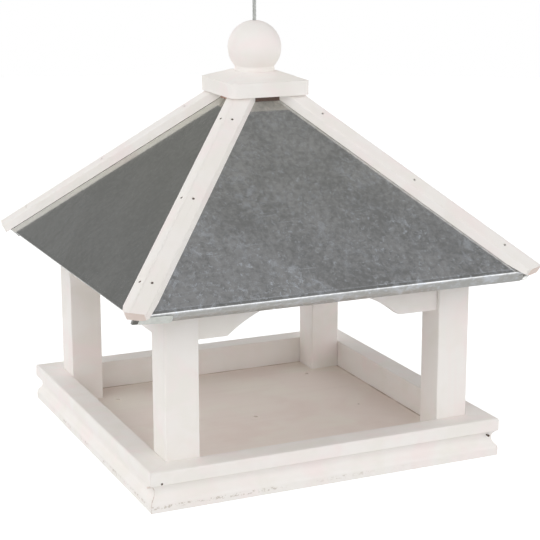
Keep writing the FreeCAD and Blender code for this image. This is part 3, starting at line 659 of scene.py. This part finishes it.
# %% Wood grain and blotches as groups
def make_grain():
    """Fine fibres and broader streaks along X."""
    tree, given, out = new_group("Grain", {"Vector": ("Vector", None)},
                                 {"Fibres": "Float", "Streaks": "Float"})
    fibres = noise(tree, scaled(tree, given["Vector"], (30, 1100, 1100)), 1.0, 4.0, 0.6, 0.4)
    streaks = noise(tree, scaled(tree, given["Vector"], (5, 130, 130)), 1.0, 3.0, 0.5, 0.8)
    tree.links.new(fibres, out["Fibres"])
    tree.links.new(streaks, out["Streaks"])
    return tree


def make_blotches():
    """Soft patches of two kinds, a few centimetres across."""
    tree, given, out = new_group(
        "Blotches", {"Vector": ("Vector", None), "Scale": ("Float", 20.0)},
        {"Pink": "Float", "Cream": "Float"})
    pink = add_node(tree, "TexNoise", {"Vector": given["Vector"], "Scale": given["Scale"],
                                       "Detail": 2.0, "Distortion": 0.3})
    moved = add_node(tree, "VectorMath", {0: given["Vector"], 1: (3.1, -2.7, 5.3)}).outputs[0]
    cream = add_node(tree, "TexNoise", {"Vector": moved, "Scale": given["Scale"],
                                        "Detail": 3.0, "Distortion": 0.5})
    tree.links.new(remap(tree, pink.outputs["Fac"], 0.42, 0.68), out["Pink"])
    tree.links.new(remap(tree, cream.outputs["Fac"], 0.42, 0.68), out["Cream"])
    return tree


GRAIN = make_grain()
BLOTCHES = make_blotches()
print("groups:", GRAIN.name, "and", BLOTCHES.name)


# %% Rubbed edges and specks as groups
def make_rubbed_edges():
    """How much an edge is rubbed: high where the surface turns sharply."""
    tree, given, out = new_group("Rubbed edges", {"Radius": ("Float", 0.0012),
                                                  "Vector": ("Vector", None)}, {"Wear": "Float"})
    eased = add_node(tree, "Bevel", {"Radius": given["Radius"]}, samples=6)
    surface = add_node(tree, "NewGeometry")
    facing = add_node(tree, "VectorMath", {0: eased.outputs[0], 1: surface.outputs["Normal"]},
                      operation="DOT_PRODUCT").outputs["Value"]
    edge = remap(tree, minus(tree, 1.0, facing), 0.02, 0.2)
    broken = remap(tree, noise(tree, given["Vector"], 260.0, 4.0, 0.65), 0.46, 0.66)
    tree.links.new(times(tree, edge, broken), out["Wear"])
    return tree


def make_specks():
    """A few small dark specks, as of grit or bare fibre."""
    tree, given, out = new_group("Specks", {"Vector": ("Vector", None), "Scale": ("Float", 70.0),
                                            "Share": ("Float", 0.06)}, {"Speck": "Float"})
    cells = add_node(tree, "TexVoronoi", {"Vector": given["Vector"], "Scale": given["Scale"]})
    near = remap(tree, cells.outputs["Distance"], 0.07, 0.035)
    pick_some = add_node(tree, "SeparateColor", {"Color": cells.outputs["Color"]}).outputs[0]
    chosen = math_node(tree, "LESS_THAN", pick_some, given["Share"])
    tree.links.new(times(tree, near, chosen), out["Speck"])
    return tree


RUBBED_EDGES = make_rubbed_edges()
SPECKS = make_specks()
print("groups:", RUBBED_EDGES.name, "and", SPECKS.name)


# %% Start a material, and finish it
def use_group(tree, group, inputs):
    return add_node(tree, "Group", inputs, node_tree=group).outputs


def new_material(name):
    """An empty material with a Principled shader: returns it, its tree and the shader."""
    material = bpy.data.materials.new(name)
    material.use_nodes = True
    tree = material.node_tree
    tree.nodes.clear()
    shader = add_node(tree, "BsdfPrincipled")
    add_node(tree, "OutputMaterial", {"Surface": shader.outputs[0]})
    return material, tree, shader


def join_shader(tree, shader, colour, roughness, height, strength, depth):
    """Joins a colour, a roughness and a fine relief to the shader."""
    bump = add_node(tree, "Bump", {"Height": height, "Strength": strength, "Distance": depth})
    tree.links.new(colour, shader.inputs["Base Color"])
    tree.links.new(roughness, shader.inputs["Roughness"])
    tree.links.new(bump.outputs[0], shader.inputs["Normal"])


def object_vector(tree, turns=()):
    """The place on the object, turned so that X runs along the grain."""
    vector = add_node(tree, "TexCoord").outputs["Object"]
    for turn in turns:
        vector = add_node(tree, "Mapping", {"Vector": vector, "Rotation": turn}).outputs[0]
    return vector


# %% [markdown]
# ## Painted wood
# The timber is painted thinly in an off-white that leans to pink in places and to cream in
# others. The grain shows through as fine ridges, sharp edges are rubbed, and a few specks of
# grit are caught in the paint. The pattern follows the grain, so each direction of timber has
# its own material, turned to lie along it.

# %% Masks for end grain, cracks and nicks
BEAD_LEVEL = 5 * MM


def facing_mask(tree, direction):
    """One where the surface faces that way, as end grain faces along its timber."""
    surface = add_node(tree, "NewGeometry").outputs["Normal"]
    facing = add_node(tree, "VectorMath", {0: surface, 1: direction},
                      operation="DOT_PRODUCT").outputs["Value"]
    return remap(tree, facing, 0.87, 0.9, 0.0, 0.85)


def mitre_crack(tree):
    """A faint line of bare wood where the mitres of the lower moulding meet."""
    place = add_node(tree, "SeparateXYZ", {"Vector": object_vector(tree)}).outputs
    across = minus(tree, absolute(tree, place["X"]), absolute(tree, place["Y"]))
    near = remap(tree, absolute(tree, across), 0.8 * MM, 0.3 * MM)
    low = remap(tree, place["Z"], TRAY_FOOT + 26 * MM, TRAY_FOOT + 22 * MM)
    broken = remap(tree, noise(tree, object_vector(tree), 150.0, 2.0), 0.4, 0.6, 0.1, 0.6)
    return times(tree, times(tree, near, low), broken)


def bead_nicks(tree):
    """Small brown nicks in a row along the bead at the foot of a rail."""
    vector = object_vector(tree)
    height = add_node(tree, "SeparateXYZ", {"Vector": vector}).outputs["Z"]
    level = absolute(tree, minus(tree, height, TRAY_FOOT + BEAD_LEVEL))
    row = remap(tree, level, 2.0 * MM, 1.0 * MM)
    spots = remap(tree, noise(tree, vector, 380.0, 3.0, 0.6), 0.5, 0.64, 0.0, 0.55)
    stretches = remap(tree, noise(tree, vector, 14.0, 1.0), 0.42, 0.54)
    return times(tree, times(tree, row, spots), stretches)


# %% Thin off-white paint over the grain
WHITE = linear(243, 239, 235)
PINKISH = linear(244, 234, 231)
CREAMY = linear(240, 236, 230)
SPECK = linear(120, 104, 90)
BARE_EDGE = linear(214, 190, 172)
END_GRAIN = linear(222, 204, 194)
CRACK = linear(176, 140, 128)
NICK = linear(172, 156, 138)


def painted_wood(name, turns=(), offset=(0, 0, 0), end_grain=None, rail=False):
    material, tree, shader = new_material(name)
    vector = object_vector(tree, turns)
    seeded = add_node(tree, "VectorMath", {0: vector, 1: offset}).outputs[0]
    grain = use_group(tree, GRAIN, {"Vector": seeded})
    blotches = use_group(tree, BLOTCHES, {"Vector": seeded, "Scale": 30.0})
    wear = use_group(tree, RUBBED_EDGES, {"Vector": seeded, "Radius": 1.0 * MM})
    specks = use_group(tree, SPECKS, {"Vector": seeded, "Scale": 60.0, "Share": 0.03})
    layers = [(blotches["Pink"], PINKISH), (blotches["Cream"], CREAMY),
              (remap(tree, grain["Streaks"], 0.5, 0.75, 0.0, 0.35), PINKISH),
              (times(tree, wear["Wear"], 0.2), BARE_EDGE),
              (times(tree, specks["Speck"], 0.5), SPECK)]
    if end_grain:
        layers.append((facing_mask(tree, end_grain), END_GRAIN))
    if rail:
        layers += [(mitre_crack(tree), CRACK), (bead_nicks(tree), NICK)]
    colour = layered(tree, WHITE, layers)
    rough = remap(tree, blotches["Cream"], 0.0, 1.0, 0.5, 0.62)
    height = plus(tree, grain["Fibres"], times(tree, grain["Streaks"], 1.6))
    join_shader(tree, shader, colour, rough, height, 0.25, 0.1 * MM)
    return material


# %% Give the painted pieces their materials
def dress(piece, material):
    piece.data.materials.clear()
    piece.data.materials.append(material)


ALONG_Y = [(0, 0, -QUARTER)]
ALONG_Z = [(0, QUARTER, 0)]
paint_x = painted_wood("paint along x")
paint_y = painted_wood("paint along y", ALONG_Y, (0.4, 0.2, 0.1))
paint_z = painted_wood("paint along z", ALONG_Z, (0.7, 0.5, 0.3))
rail_x = painted_wood("rail paint along x", (), (1.1, 0.4, 0.2), rail=True)
rail_y = painted_wood("rail paint along y", ALONG_Y, (1.6, 0.1, 0.9), rail=True)
for side in SIDES:
    sideways = side in ("left", "right")
    dress(nodes[f"tray_rail_{side}"], rail_y if sideways else rail_x)
    dress(nodes[f"arch_board_{side}"], paint_y if sideways else paint_x)
for index, corner in enumerate(CORNERS):
    dress(nodes[f"post_{corner}"], paint_z)
    turns = [(0, 0, -FIRST_CORNER - QUARTER * index), (0, -HIP_PITCH, 0)]
    batten_paint = painted_wood(f"batten paint {corner}", turns, (0.3 * index, 0.7, 0.2),
                                end_grain=hip_axes(index)[0])
    dress(nodes[f"hip_batten_{corner}"], batten_paint)
    if corner in worn_battens:
        dress(worn_battens[corner], batten_paint)
dress(nodes["roof_cap"], painted_wood("cap paint", (), (2.2, 0.3, 0.8)))
dress(nodes["finial_ball"], painted_wood("ball paint", ALONG_Z, (0.9, 1.4, 0.6)))

# %% [markdown]
# ## The tray's floor
# The floor is a sheet of plywood with a thinner coat of the same paint, so that it looks a
# little darker and warmer, with a faint mottle. The drain holes go right through it.

# %% Thinly painted plywood
FLOOR_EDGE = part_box("tray_floor")[1].x


def floor_edge_band(tree):
    """A brown band on the floor along the foot of the rails, in patches."""
    vector = object_vector(tree)
    place = add_node(tree, "SeparateXYZ", {"Vector": vector}).outputs
    reach = math_node(tree, "MAXIMUM", absolute(tree, place["X"]), absolute(tree, place["Y"]))
    edge = remap(tree, reach, FLOOR_EDGE - 3.4 * MM, FLOOR_EDGE - 0.2 * MM)
    patches = remap(tree, noise(tree, vector, 26.0, 3.0, 0.6), 0.35, 0.65, 0.2, 0.85)
    return times(tree, edge, patches)


FLOOR_PAINT = linear(245, 233, 225)
FLOOR_PINK = linear(241, 227, 219)
FLOOR_CREAM = linear(245, 237, 227)
FLOOR_STREAK = linear(226, 213, 202)
FLOOR_SPECK = linear(150, 134, 116)
FLOOR_EDGE_BROWN = linear(150, 122, 98)


def painted_floor():
    material, tree, shader = new_material("floor paint")
    vector = object_vector(tree)
    blotches = use_group(tree, BLOTCHES, {"Vector": vector, "Scale": 16.0})
    grain = use_group(tree, GRAIN, {"Vector": vector})
    specks = use_group(tree, SPECKS, {"Vector": vector, "Scale": 45.0, "Share": 0.05})
    colour = layered(tree, FLOOR_PAINT, [
        (blotches["Pink"], FLOOR_PINK), (blotches["Cream"], FLOOR_CREAM),
        (remap(tree, grain["Streaks"], 0.45, 0.8, 0.0, 0.14), FLOOR_STREAK),
        (times(tree, specks["Speck"], 0.6), FLOOR_SPECK), (floor_edge_band(tree), FLOOR_EDGE_BROWN)])
    rough = remap(tree, blotches["Pink"], 0, 1, 0.55, 0.7)
    join_shader(tree, shader, colour, rough, grain["Fibres"], 0.2, 0.1 * MM)
    return material


dress(nodes["tray_floor"], painted_floor())

# %% [markdown]
# ## Bare wood
# The rafters, the block at the peak and the dowels were never painted. Only the block
# shows, as reddish-brown wood in the narrow gap under the cap, and its front face is painted
# dark as shade.

# %% Unpainted softwood and the reddish block
# Painted shade: the dark colour of the block's front face, which lies in shade under the cap.
BLOCK_SHADE = linear(60, 50, 44)


def bare_wood(name, light, dark, turns=(), offset=(0, 0, 0), shaded_face=None):
    material, tree, shader = new_material(name)
    vector = object_vector(tree, turns)
    seeded = add_node(tree, "VectorMath", {0: vector, 1: offset}).outputs[0]
    grain = use_group(tree, GRAIN, {"Vector": seeded})
    layers = [(remap(tree, grain["Streaks"], 0.35, 0.65), dark),
              (remap(tree, grain["Fibres"], 0.4, 0.7, 0.0, 0.4), dark)]
    # Painted shade on the face that is turned this way.
    if shaded_face:
        layers.append((facing_mask(tree, shaded_face), BLOCK_SHADE))
    colour = layered(tree, light, layers)
    rough = remap(tree, grain["Fibres"], 0, 1, 0.6, 0.85)
    join_shader(tree, shader, colour, rough, grain["Fibres"], 0.5, 0.2 * MM)
    return material


SOFTWOOD = (linear(214, 182, 142), linear(178, 136, 96))
REDDISH = (linear(208, 172, 158), linear(182, 138, 122))
for index, corner in enumerate(CORNERS):
    turn = FIRST_CORNER + QUARTER * index
    rafter_wood = bare_wood(f"rafter wood {corner}", *SOFTWOOD,
                            [(0, 0, -turn), (0, -HIP_PITCH, 0)], (0.5 * index, 0, 0))
    dress(nodes[f"hip_rafter_{corner}"], rafter_wood)
# The block's front face is painted dark as shade.
dress(nodes["peak_block"], bare_wood("block wood", *REDDISH, ALONG_Z, shaded_face=(0, -1, 0)))
dress(nodes["board_dowels"], bare_wood("dowel wood", *SOFTWOOD, (), (1, 2, 3)))

# %% [markdown]
# ## Zinc-coated sheet
# The sheet is bright metal that has dulled. It still mirrors the battens and the cap. Pale
# bluish marks have grown on it, most of them on the front and towards the eave: small flecks,
# soft clouds, curled threads, and fine scratches along the eave from the folding press. Above
# each fold runs a thin pale line, which is a painted reflection, with a band of painted shade
# under it, and the lips are painted darker as shade. Each sheet is turned into its own plane,
# so that X runs along its eave and Y up its slope. Every kind of mark is a function of its own.

# %% The parts of the marks on dulled zinc
PALE_LINE = 4.6 * MM


def zinc_tone(tree, vector):
    """Broad, fine and running shades of the metal itself."""
    wide = noise(tree, vector, 17.0, 2.0, 0.5, 0.4)
    fine = noise(tree, vector, 165.0, 5.0, 0.7, 0.3)
    runs = noise(tree, scaled(tree, vector, (170, 16, 1)), 1.0, 3.0, 0.6, 0.3)
    tone = plus(tree, times(tree, wide, 0.4), times(tree, runs, 0.08))
    return plus(tree, tone, times(tree, fine, 0.52))


def zinc_flecks(tree, vector):
    """Small flecks that lie in patches, and soft clouds here and there."""
    fleck = remap(tree, noise(tree, vector, 250.0, 3.0, 0.6, 0.8), 0.53, 0.7)
    patches = remap(tree, noise(tree, vector, 38.0, 2.0, 0.5, 0.5), 0.34, 0.62, 0.25, 1.0)
    cloud = remap(tree, noise(tree, vector, 110.0, 4.0, 0.6, 0.6), 0.47, 0.66)
    where = remap(tree, noise(tree, vector, 24.0, 2.0, 0.5), 0.43, 0.6, 0.0, 0.7)
    return math_node(tree, "MAXIMUM", times(tree, fleck, patches), times(tree, cloud, where))


def zinc_threads(tree, vector):
    """Thin curled threads, along the level line of a noise, broken here and there."""
    curl = minus(tree, noise(tree, vector, 75.0, 3.0, 0.6, 1.6), 0.5)
    thread = remap(tree, absolute(tree, curl), 0.014, 0.0)
    broken = remap(tree, noise(tree, vector, 52.0, 3.0, 0.6), 0.5, 0.66, 0.0, 0.35)
    return times(tree, thread, broken)


def zinc_scratches(tree, vector):
    """Fine scratches along the eave: a noise drawn out along X."""
    rubbed = noise(tree, scaled(tree, vector, (11, 520, 520)), 1.0, 2.0, 0.5, 0.2)
    here = remap(tree, noise(tree, vector, 30.0, 2.0, 0.5), 0.42, 0.58, 0.1, 1.0)
    return times(tree, remap(tree, rubbed, 0.62, 0.72, 0.0, 0.6), here)


def pale_reflection_line(tree, vector, slope):
    """The ragged pale line a little above the fold, a painted reflection."""
    from_line = absolute(tree, minus(tree, slope, PALE_LINE))
    ragged = remap(tree, noise(tree, scaled(tree, vector, (60, 200, 200)), 1.0, 2.0), 0.35, 0.6,
                   0.1, 0.45)
    return times(tree, remap(tree, from_line, 0.9 * MM, 0.3 * MM), ragged)


# %% The marks put together as a group
def make_zinc_marks():
    tree, given, out = new_group(
        "Zinc marks", {"Vector": ("Vector", None), "Amount": ("Float", 1.0)},
        {"Tone": "Float", "Marks": "Float", "Fold shade": "Float", "Upper": "Float"})
    vector = given["Vector"]
    slope = add_node(tree, "SeparateXYZ", {"Vector": vector}).outputs["Y"]
    marks = plus(tree, zinc_flecks(tree, vector), zinc_threads(tree, vector))
    marks = math_node(tree, "MAXIMUM", marks, zinc_scratches(tree, vector))
    marks = times(tree, marks, remap(tree, slope, 0.2, 0.01, 0.45, 1.0))
    # A painted reflection: the pale line above the fold.
    marks = plus(tree, marks, pale_reflection_line(tree, vector, slope))
    # A band of painted shade between the fold and the pale line, where the sheet rises to the
    # fold.
    above = remap(tree, slope, PALE_LINE, PALE_LINE - 1.0 * MM)
    below = remap(tree, slope, 0.8 * MM, 2.0 * MM)
    fold_shade = times(tree, times(tree, above, below), given["Amount"])
    tree.links.new(zinc_tone(tree, vector), out["Tone"])
    tree.links.new(times(tree, marks, given["Amount"], clamp=True), out["Marks"])
    tree.links.new(fold_shade, out["Fold shade"])
    tree.links.new(remap(tree, slope, 0.03, 0.15), out["Upper"])
    return tree


ZINC_MARKS = make_zinc_marks()
print("nodes in the zinc's group:", len(ZINC_MARKS.nodes))


# %% Dulled zinc, and the hammered tab
WARM_TINT = linear(254, 253, 245)
FOLD_SHADE = linear(150, 150, 146)
BLUISH_MARK = linear(222, 227, 234)


def zinc_sheet(name, turn, amount, dark, light, lip, lip_start):
    material, tree, shader = new_material(name)
    vector = object_vector(tree, [(0, 0, -turn)])
    moved = add_node(tree, "VectorMath", {0: vector, 1: (0, ROOF_HALF, -EAVE_LEVEL)}).outputs[0]
    flat = add_node(tree, "Mapping", {"Vector": moved, "Rotation": (-ROOF_PITCH, 0, 0)}).outputs[0]
    marks = use_group(tree, ZINC_MARKS, {"Vector": flat, "Amount": amount})
    colour = blend_colours(tree, remap(tree, marks["Tone"], 0.38, 0.62), dark, light)
    warmth = times(tree, marks["Upper"], 0.5)
    colour = blend_colours(tree, warmth, colour, WARM_TINT, "MULTIPLY")
    below = add_node(tree, "SeparateXYZ", {"Vector": flat}).outputs["Z"]
    # The lip is painted darker as shade, and on the left sheet the fold is too.
    lip_shade = remap(tree, below, -lip_start, -lip_start - 0.8 * MM)
    # Painted shade on the band above the fold and on the lip, then the pale marks over them.
    colour = layered(tree, colour, [(times(tree, marks["Fold shade"], 0.3), FOLD_SHADE),
                                    (lip_shade, lip), (marks["Marks"], BLUISH_MARK)])
    tree.links.new(remap(tree, marks["Marks"], 0, 1, 1.0, 0.8), shader.inputs["Metallic"])
    rough = plus(tree, remap(tree, marks["Tone"], 0.3, 0.7, 0.09, 0.13),
                 times(tree, marks["Marks"], 0.15))
    join_shader(tree, shader, colour, rough, marks["Tone"], 0.04, 0.2 * MM)
    return material


def bent_tab():
    """The tabs are painted pale as a highlight, and hammering has roughened them."""
    material, tree, shader = new_material("zinc tab")
    vector = object_vector(tree)
    dents = noise(tree, vector, 160.0, 3.0, 0.6)
    # Painted highlight: the pale colours stand for the light that the tabs catch.
    colour = blend_colours(tree, remap(tree, dents, 0.35, 0.65), linear(214, 218, 214),
                           linear(228, 232, 228))
    tree.links.new(remap(tree, dents, 0.3, 0.7, 0.9, 0.75), shader.inputs["Metallic"])
    rough = remap(tree, dents, 0.3, 0.7, 0.3, 0.42)
    join_shader(tree, shader, colour, rough, dents, 0.3, 0.2 * MM)
    return material


# %% Each sheet its own look, and the tabs theirs
# The lips are painted darker than the sheet as shade, and the left one darkest, fold and all.
SHADED_LIP = linear(182, 182, 179)
SHEET_LOOK = {
    # how many marks, the darker and lighter metal, the lip's painted shade, and how far below
    # the roof it starts
    "front": (1.0, linear(188, 189, 189), linear(224, 225, 226), SHADED_LIP, 1.1 * MM),
    "right": (0.8, linear(190, 191, 191), linear(222, 223, 223), SHADED_LIP, 1.1 * MM),
    "back": (0.9, linear(188, 189, 189), linear(224, 225, 225), SHADED_LIP, 1.1 * MM),
    "left": (0.2, linear(202, 203, 199), linear(217, 218, 214), linear(112, 112, 108), 0.1 * MM),
}
tab_metal = bent_tab()
for index, side in enumerate(SIDES):
    sheet, sheet_faces = sheets[side]
    dress(sheet, zinc_sheet(f"zinc {side}", QUARTER * index, *SHEET_LOOK[side]))
    sheet.data.materials.append(tab_metal)
    turn_back = Matrix.Rotation(-QUARTER * (index + 1), 3, "Z")
    for face in sheet.data.polygons:
        on_tongue = (turn_back @ face.center).x > TAB_START
        face.material_index = int(face.index >= sheet_faces and on_tongue)
print("tab faces:", [sum(face.material_index for face in sheet.data.polygons)
                     for sheet, _ in sheets.values()])

# %% [markdown]
# ## Small metal parts
# The rope is zinc-coated steel wire that has weathered to a dull pale grey. The sleeve and the
# stop are soft aluminium. The nails have gone brown in their pits, and those at the left side of
# the tray were painted over. The screws and the washer are still bright.

# %% Metal that has tarnished or rusted
PAINTED_OVER = linear(234, 222, 216)


def left_side(tree):
    """One on the left side of the table, between the diagonals."""
    place = add_node(tree, "SeparateXYZ", {"Vector": object_vector(tree)}).outputs
    depth = plus(tree, place["X"], absolute(tree, place["Y"]))
    return remap(tree, depth, -2 * MM, -4 * MM)


def small_metal(name, light, dark, roughness, scale=900.0, metallic=1.0, painted=False):
    material, tree, shader = new_material(name)
    vector = object_vector(tree)
    tarnish = noise(tree, vector, scale, 4.0, 0.6)
    colour = blend_colours(tree, remap(tree, tarnish, 0.35, 0.65), light, dark)
    if painted:
        colour = blend_colours(tree, left_side(tree), colour, PAINTED_OVER)
    shader.inputs["Metallic"].default_value = metallic
    rough = remap(tree, tarnish, 0.3, 0.7, roughness - 0.08, roughness + 0.1)
    join_shader(tree, shader, colour, rough, tarnish, 0.3, 0.05 * MM)
    return material


# %% Wire, sleeve, nails and screws
wire = small_metal("wire", linear(216, 218, 215), linear(172, 174, 171), 0.5, 1400.0, 0.35)
for rope in (free_rope, inner_rope, eye):
    dress(rope, wire)
sleeve_metal = small_metal("sleeve", linear(206, 207, 208), linear(176, 178, 180), 0.4, 500.0)
bright_steel = small_metal("bright steel", linear(190, 188, 182), linear(150, 148, 140), 0.35)
RUST = (linear(96, 76, 60), linear(52, 42, 36))
rusty_nail = small_metal("rusty nail", *RUST, 0.7, 2500.0, 0.4)
half_painted_nail = small_metal("half painted nail", *RUST, 0.7, 2500.0, 0.0, painted=True)
for name, metal in (("eye_sleeve", sleeve_metal), ("rope_stop", sleeve_metal),
                    ("stop_washer", bright_steel), ("post_screws", bright_steel),
                    ("rafter_nails", bright_steel), ("floor_pins", rusty_nail),
                    ("batten_nails", rusty_nail), ("rail_nails", half_painted_nail)):
    dress(nodes[name], metal)

# %% [markdown]
# ## The studio
# The table hangs over a pale floor, which is a circle so wide that its rim is never seen. It
# keeps the table's soft shadow, and it glows a little for the camera alone, which makes it
# almost white without lighting the table.

# %% Floor
FLOOR_LEVEL = TRAY_FOOT - 0.36
FLOOR_RADIUS = 6
FLOOR_GREY = (0.85, 0.85, 0.85, 1)
FLOOR_GLOW = 0.4


def stage_floor():
    deselect()
    bpy.ops.mesh.primitive_circle_add(vertices=96, radius=FLOOR_RADIUS, fill_type="NGON",
                                      location=(0, 0, FLOOR_LEVEL))
    floor = settle(bpy.context.object, "studio_floor")
    material, tree, shader = new_material("studio floor")
    shader.inputs["Base Color"].default_value = FLOOR_GREY
    shader.inputs["Roughness"].default_value = 0.9
    shader.inputs["Specular IOR Level"].default_value = 0.0
    path = add_node(tree, "LightPath").outputs
    shader.inputs["Emission Color"].default_value = (1, 1, 1, 1)
    seen = times(tree, path["Is Camera Ray"], FLOOR_GLOW)
    tree.links.new(seen, shader.inputs["Emission Strength"])
    dress(floor, material)


stage_floor()
print("studio floor:", round(TRAY_FOOT - FLOOR_LEVEL, 2), "m under the tray")

# %% [markdown]
# The light is soft and comes from low down all round, most of it from behind, with a broad glow
# from the front left. Lamps would leave edges in the metal, so the light is made in the world:
# each glow fades with the angle from its middle. The world is white where the camera looks.
# What the metal mirrors is a white wall low down, a dim ceiling above it, and a bright low
# screen in front of the table.

# %% World
GLOWS = (
    # azimuth, height and strength; azimuth 0 is the right, 90 behind, 270 in front
    (315, 8, 0.85), (0, 8, 1.5), (90, 8, 3.1), (180, 8, 0.45), (270, 8, 0.7),
    (225, 35, 1.33), (180, 35, 1.36), (315, 35, 0.56), (90, 35, 0.36),
)
GLOW_FADING = 7.0


def glow(tree, direction, azimuth, height, strength):
    """Soft light from one direction, which fades with the angle from it."""
    turn, rise = math.radians(azimuth), math.radians(height)
    middle = (math.cos(turn) * math.cos(rise), math.sin(turn) * math.cos(rise), math.sin(rise))
    facing = add_node(tree, "VectorMath", {0: direction, 1: middle},
                      operation="DOT_PRODUCT").outputs["Value"]
    fading = times(tree, minus(tree, facing, 1.0), GLOW_FADING)
    return times(tree, math_node(tree, "EXPONENT", fading), strength)


def mirrored_room(tree, direction):
    """What metal mirrors: a white wall low down, a dim ceiling, and a bright screen in front."""
    along = add_node(tree, "SeparateXYZ", {"Vector": direction}).outputs
    wall = remap(tree, along["Z"], 0.05, 0.2, 1.0, 0.24)
    ceiling = remap(tree, along["Z"], 0.5, 0.85, 0.0, 0.07)
    in_front = remap(tree, along["Y"], -0.3, -0.6, 0.0, 1.1)
    screen = times(tree, in_front, remap(tree, along["Z"], 0.72, 0.52))
    return plus(tree, plus(tree, wall, ceiling), screen)


def set_world():
    world = bpy.data.worlds.new("studio")
    bpy.context.scene.world = world
    world.use_nodes = True
    tree = world.node_tree
    tree.nodes.clear()
    path = add_node(tree, "LightPath").outputs
    direction = add_node(tree, "TexCoord").outputs["Generated"]
    soft = 0.0
    for azimuth, height, strength in GLOWS:
        soft = plus(tree, soft, glow(tree, direction, azimuth, height, strength))
    lit = times(tree, soft, path["Is Diffuse Ray"])
    mirrored = times(tree, mirrored_room(tree, direction), path["Is Glossy Ray"])
    seen = math_node(tree, "MAXIMUM", path["Is Camera Ray"], path["Is Transmission Ray"])
    total = plus(tree, plus(tree, lit, mirrored), seen)
    back = add_node(tree, "Background", {"Color": (1, 1, 1, 1), "Strength": total})
    add_node(tree, "OutputWorld", {"Surface": back.outputs[0]})


set_world()
settings = bpy.context.scene.view_settings
settings.view_transform = "Standard"
print("glows:", len(GLOWS))
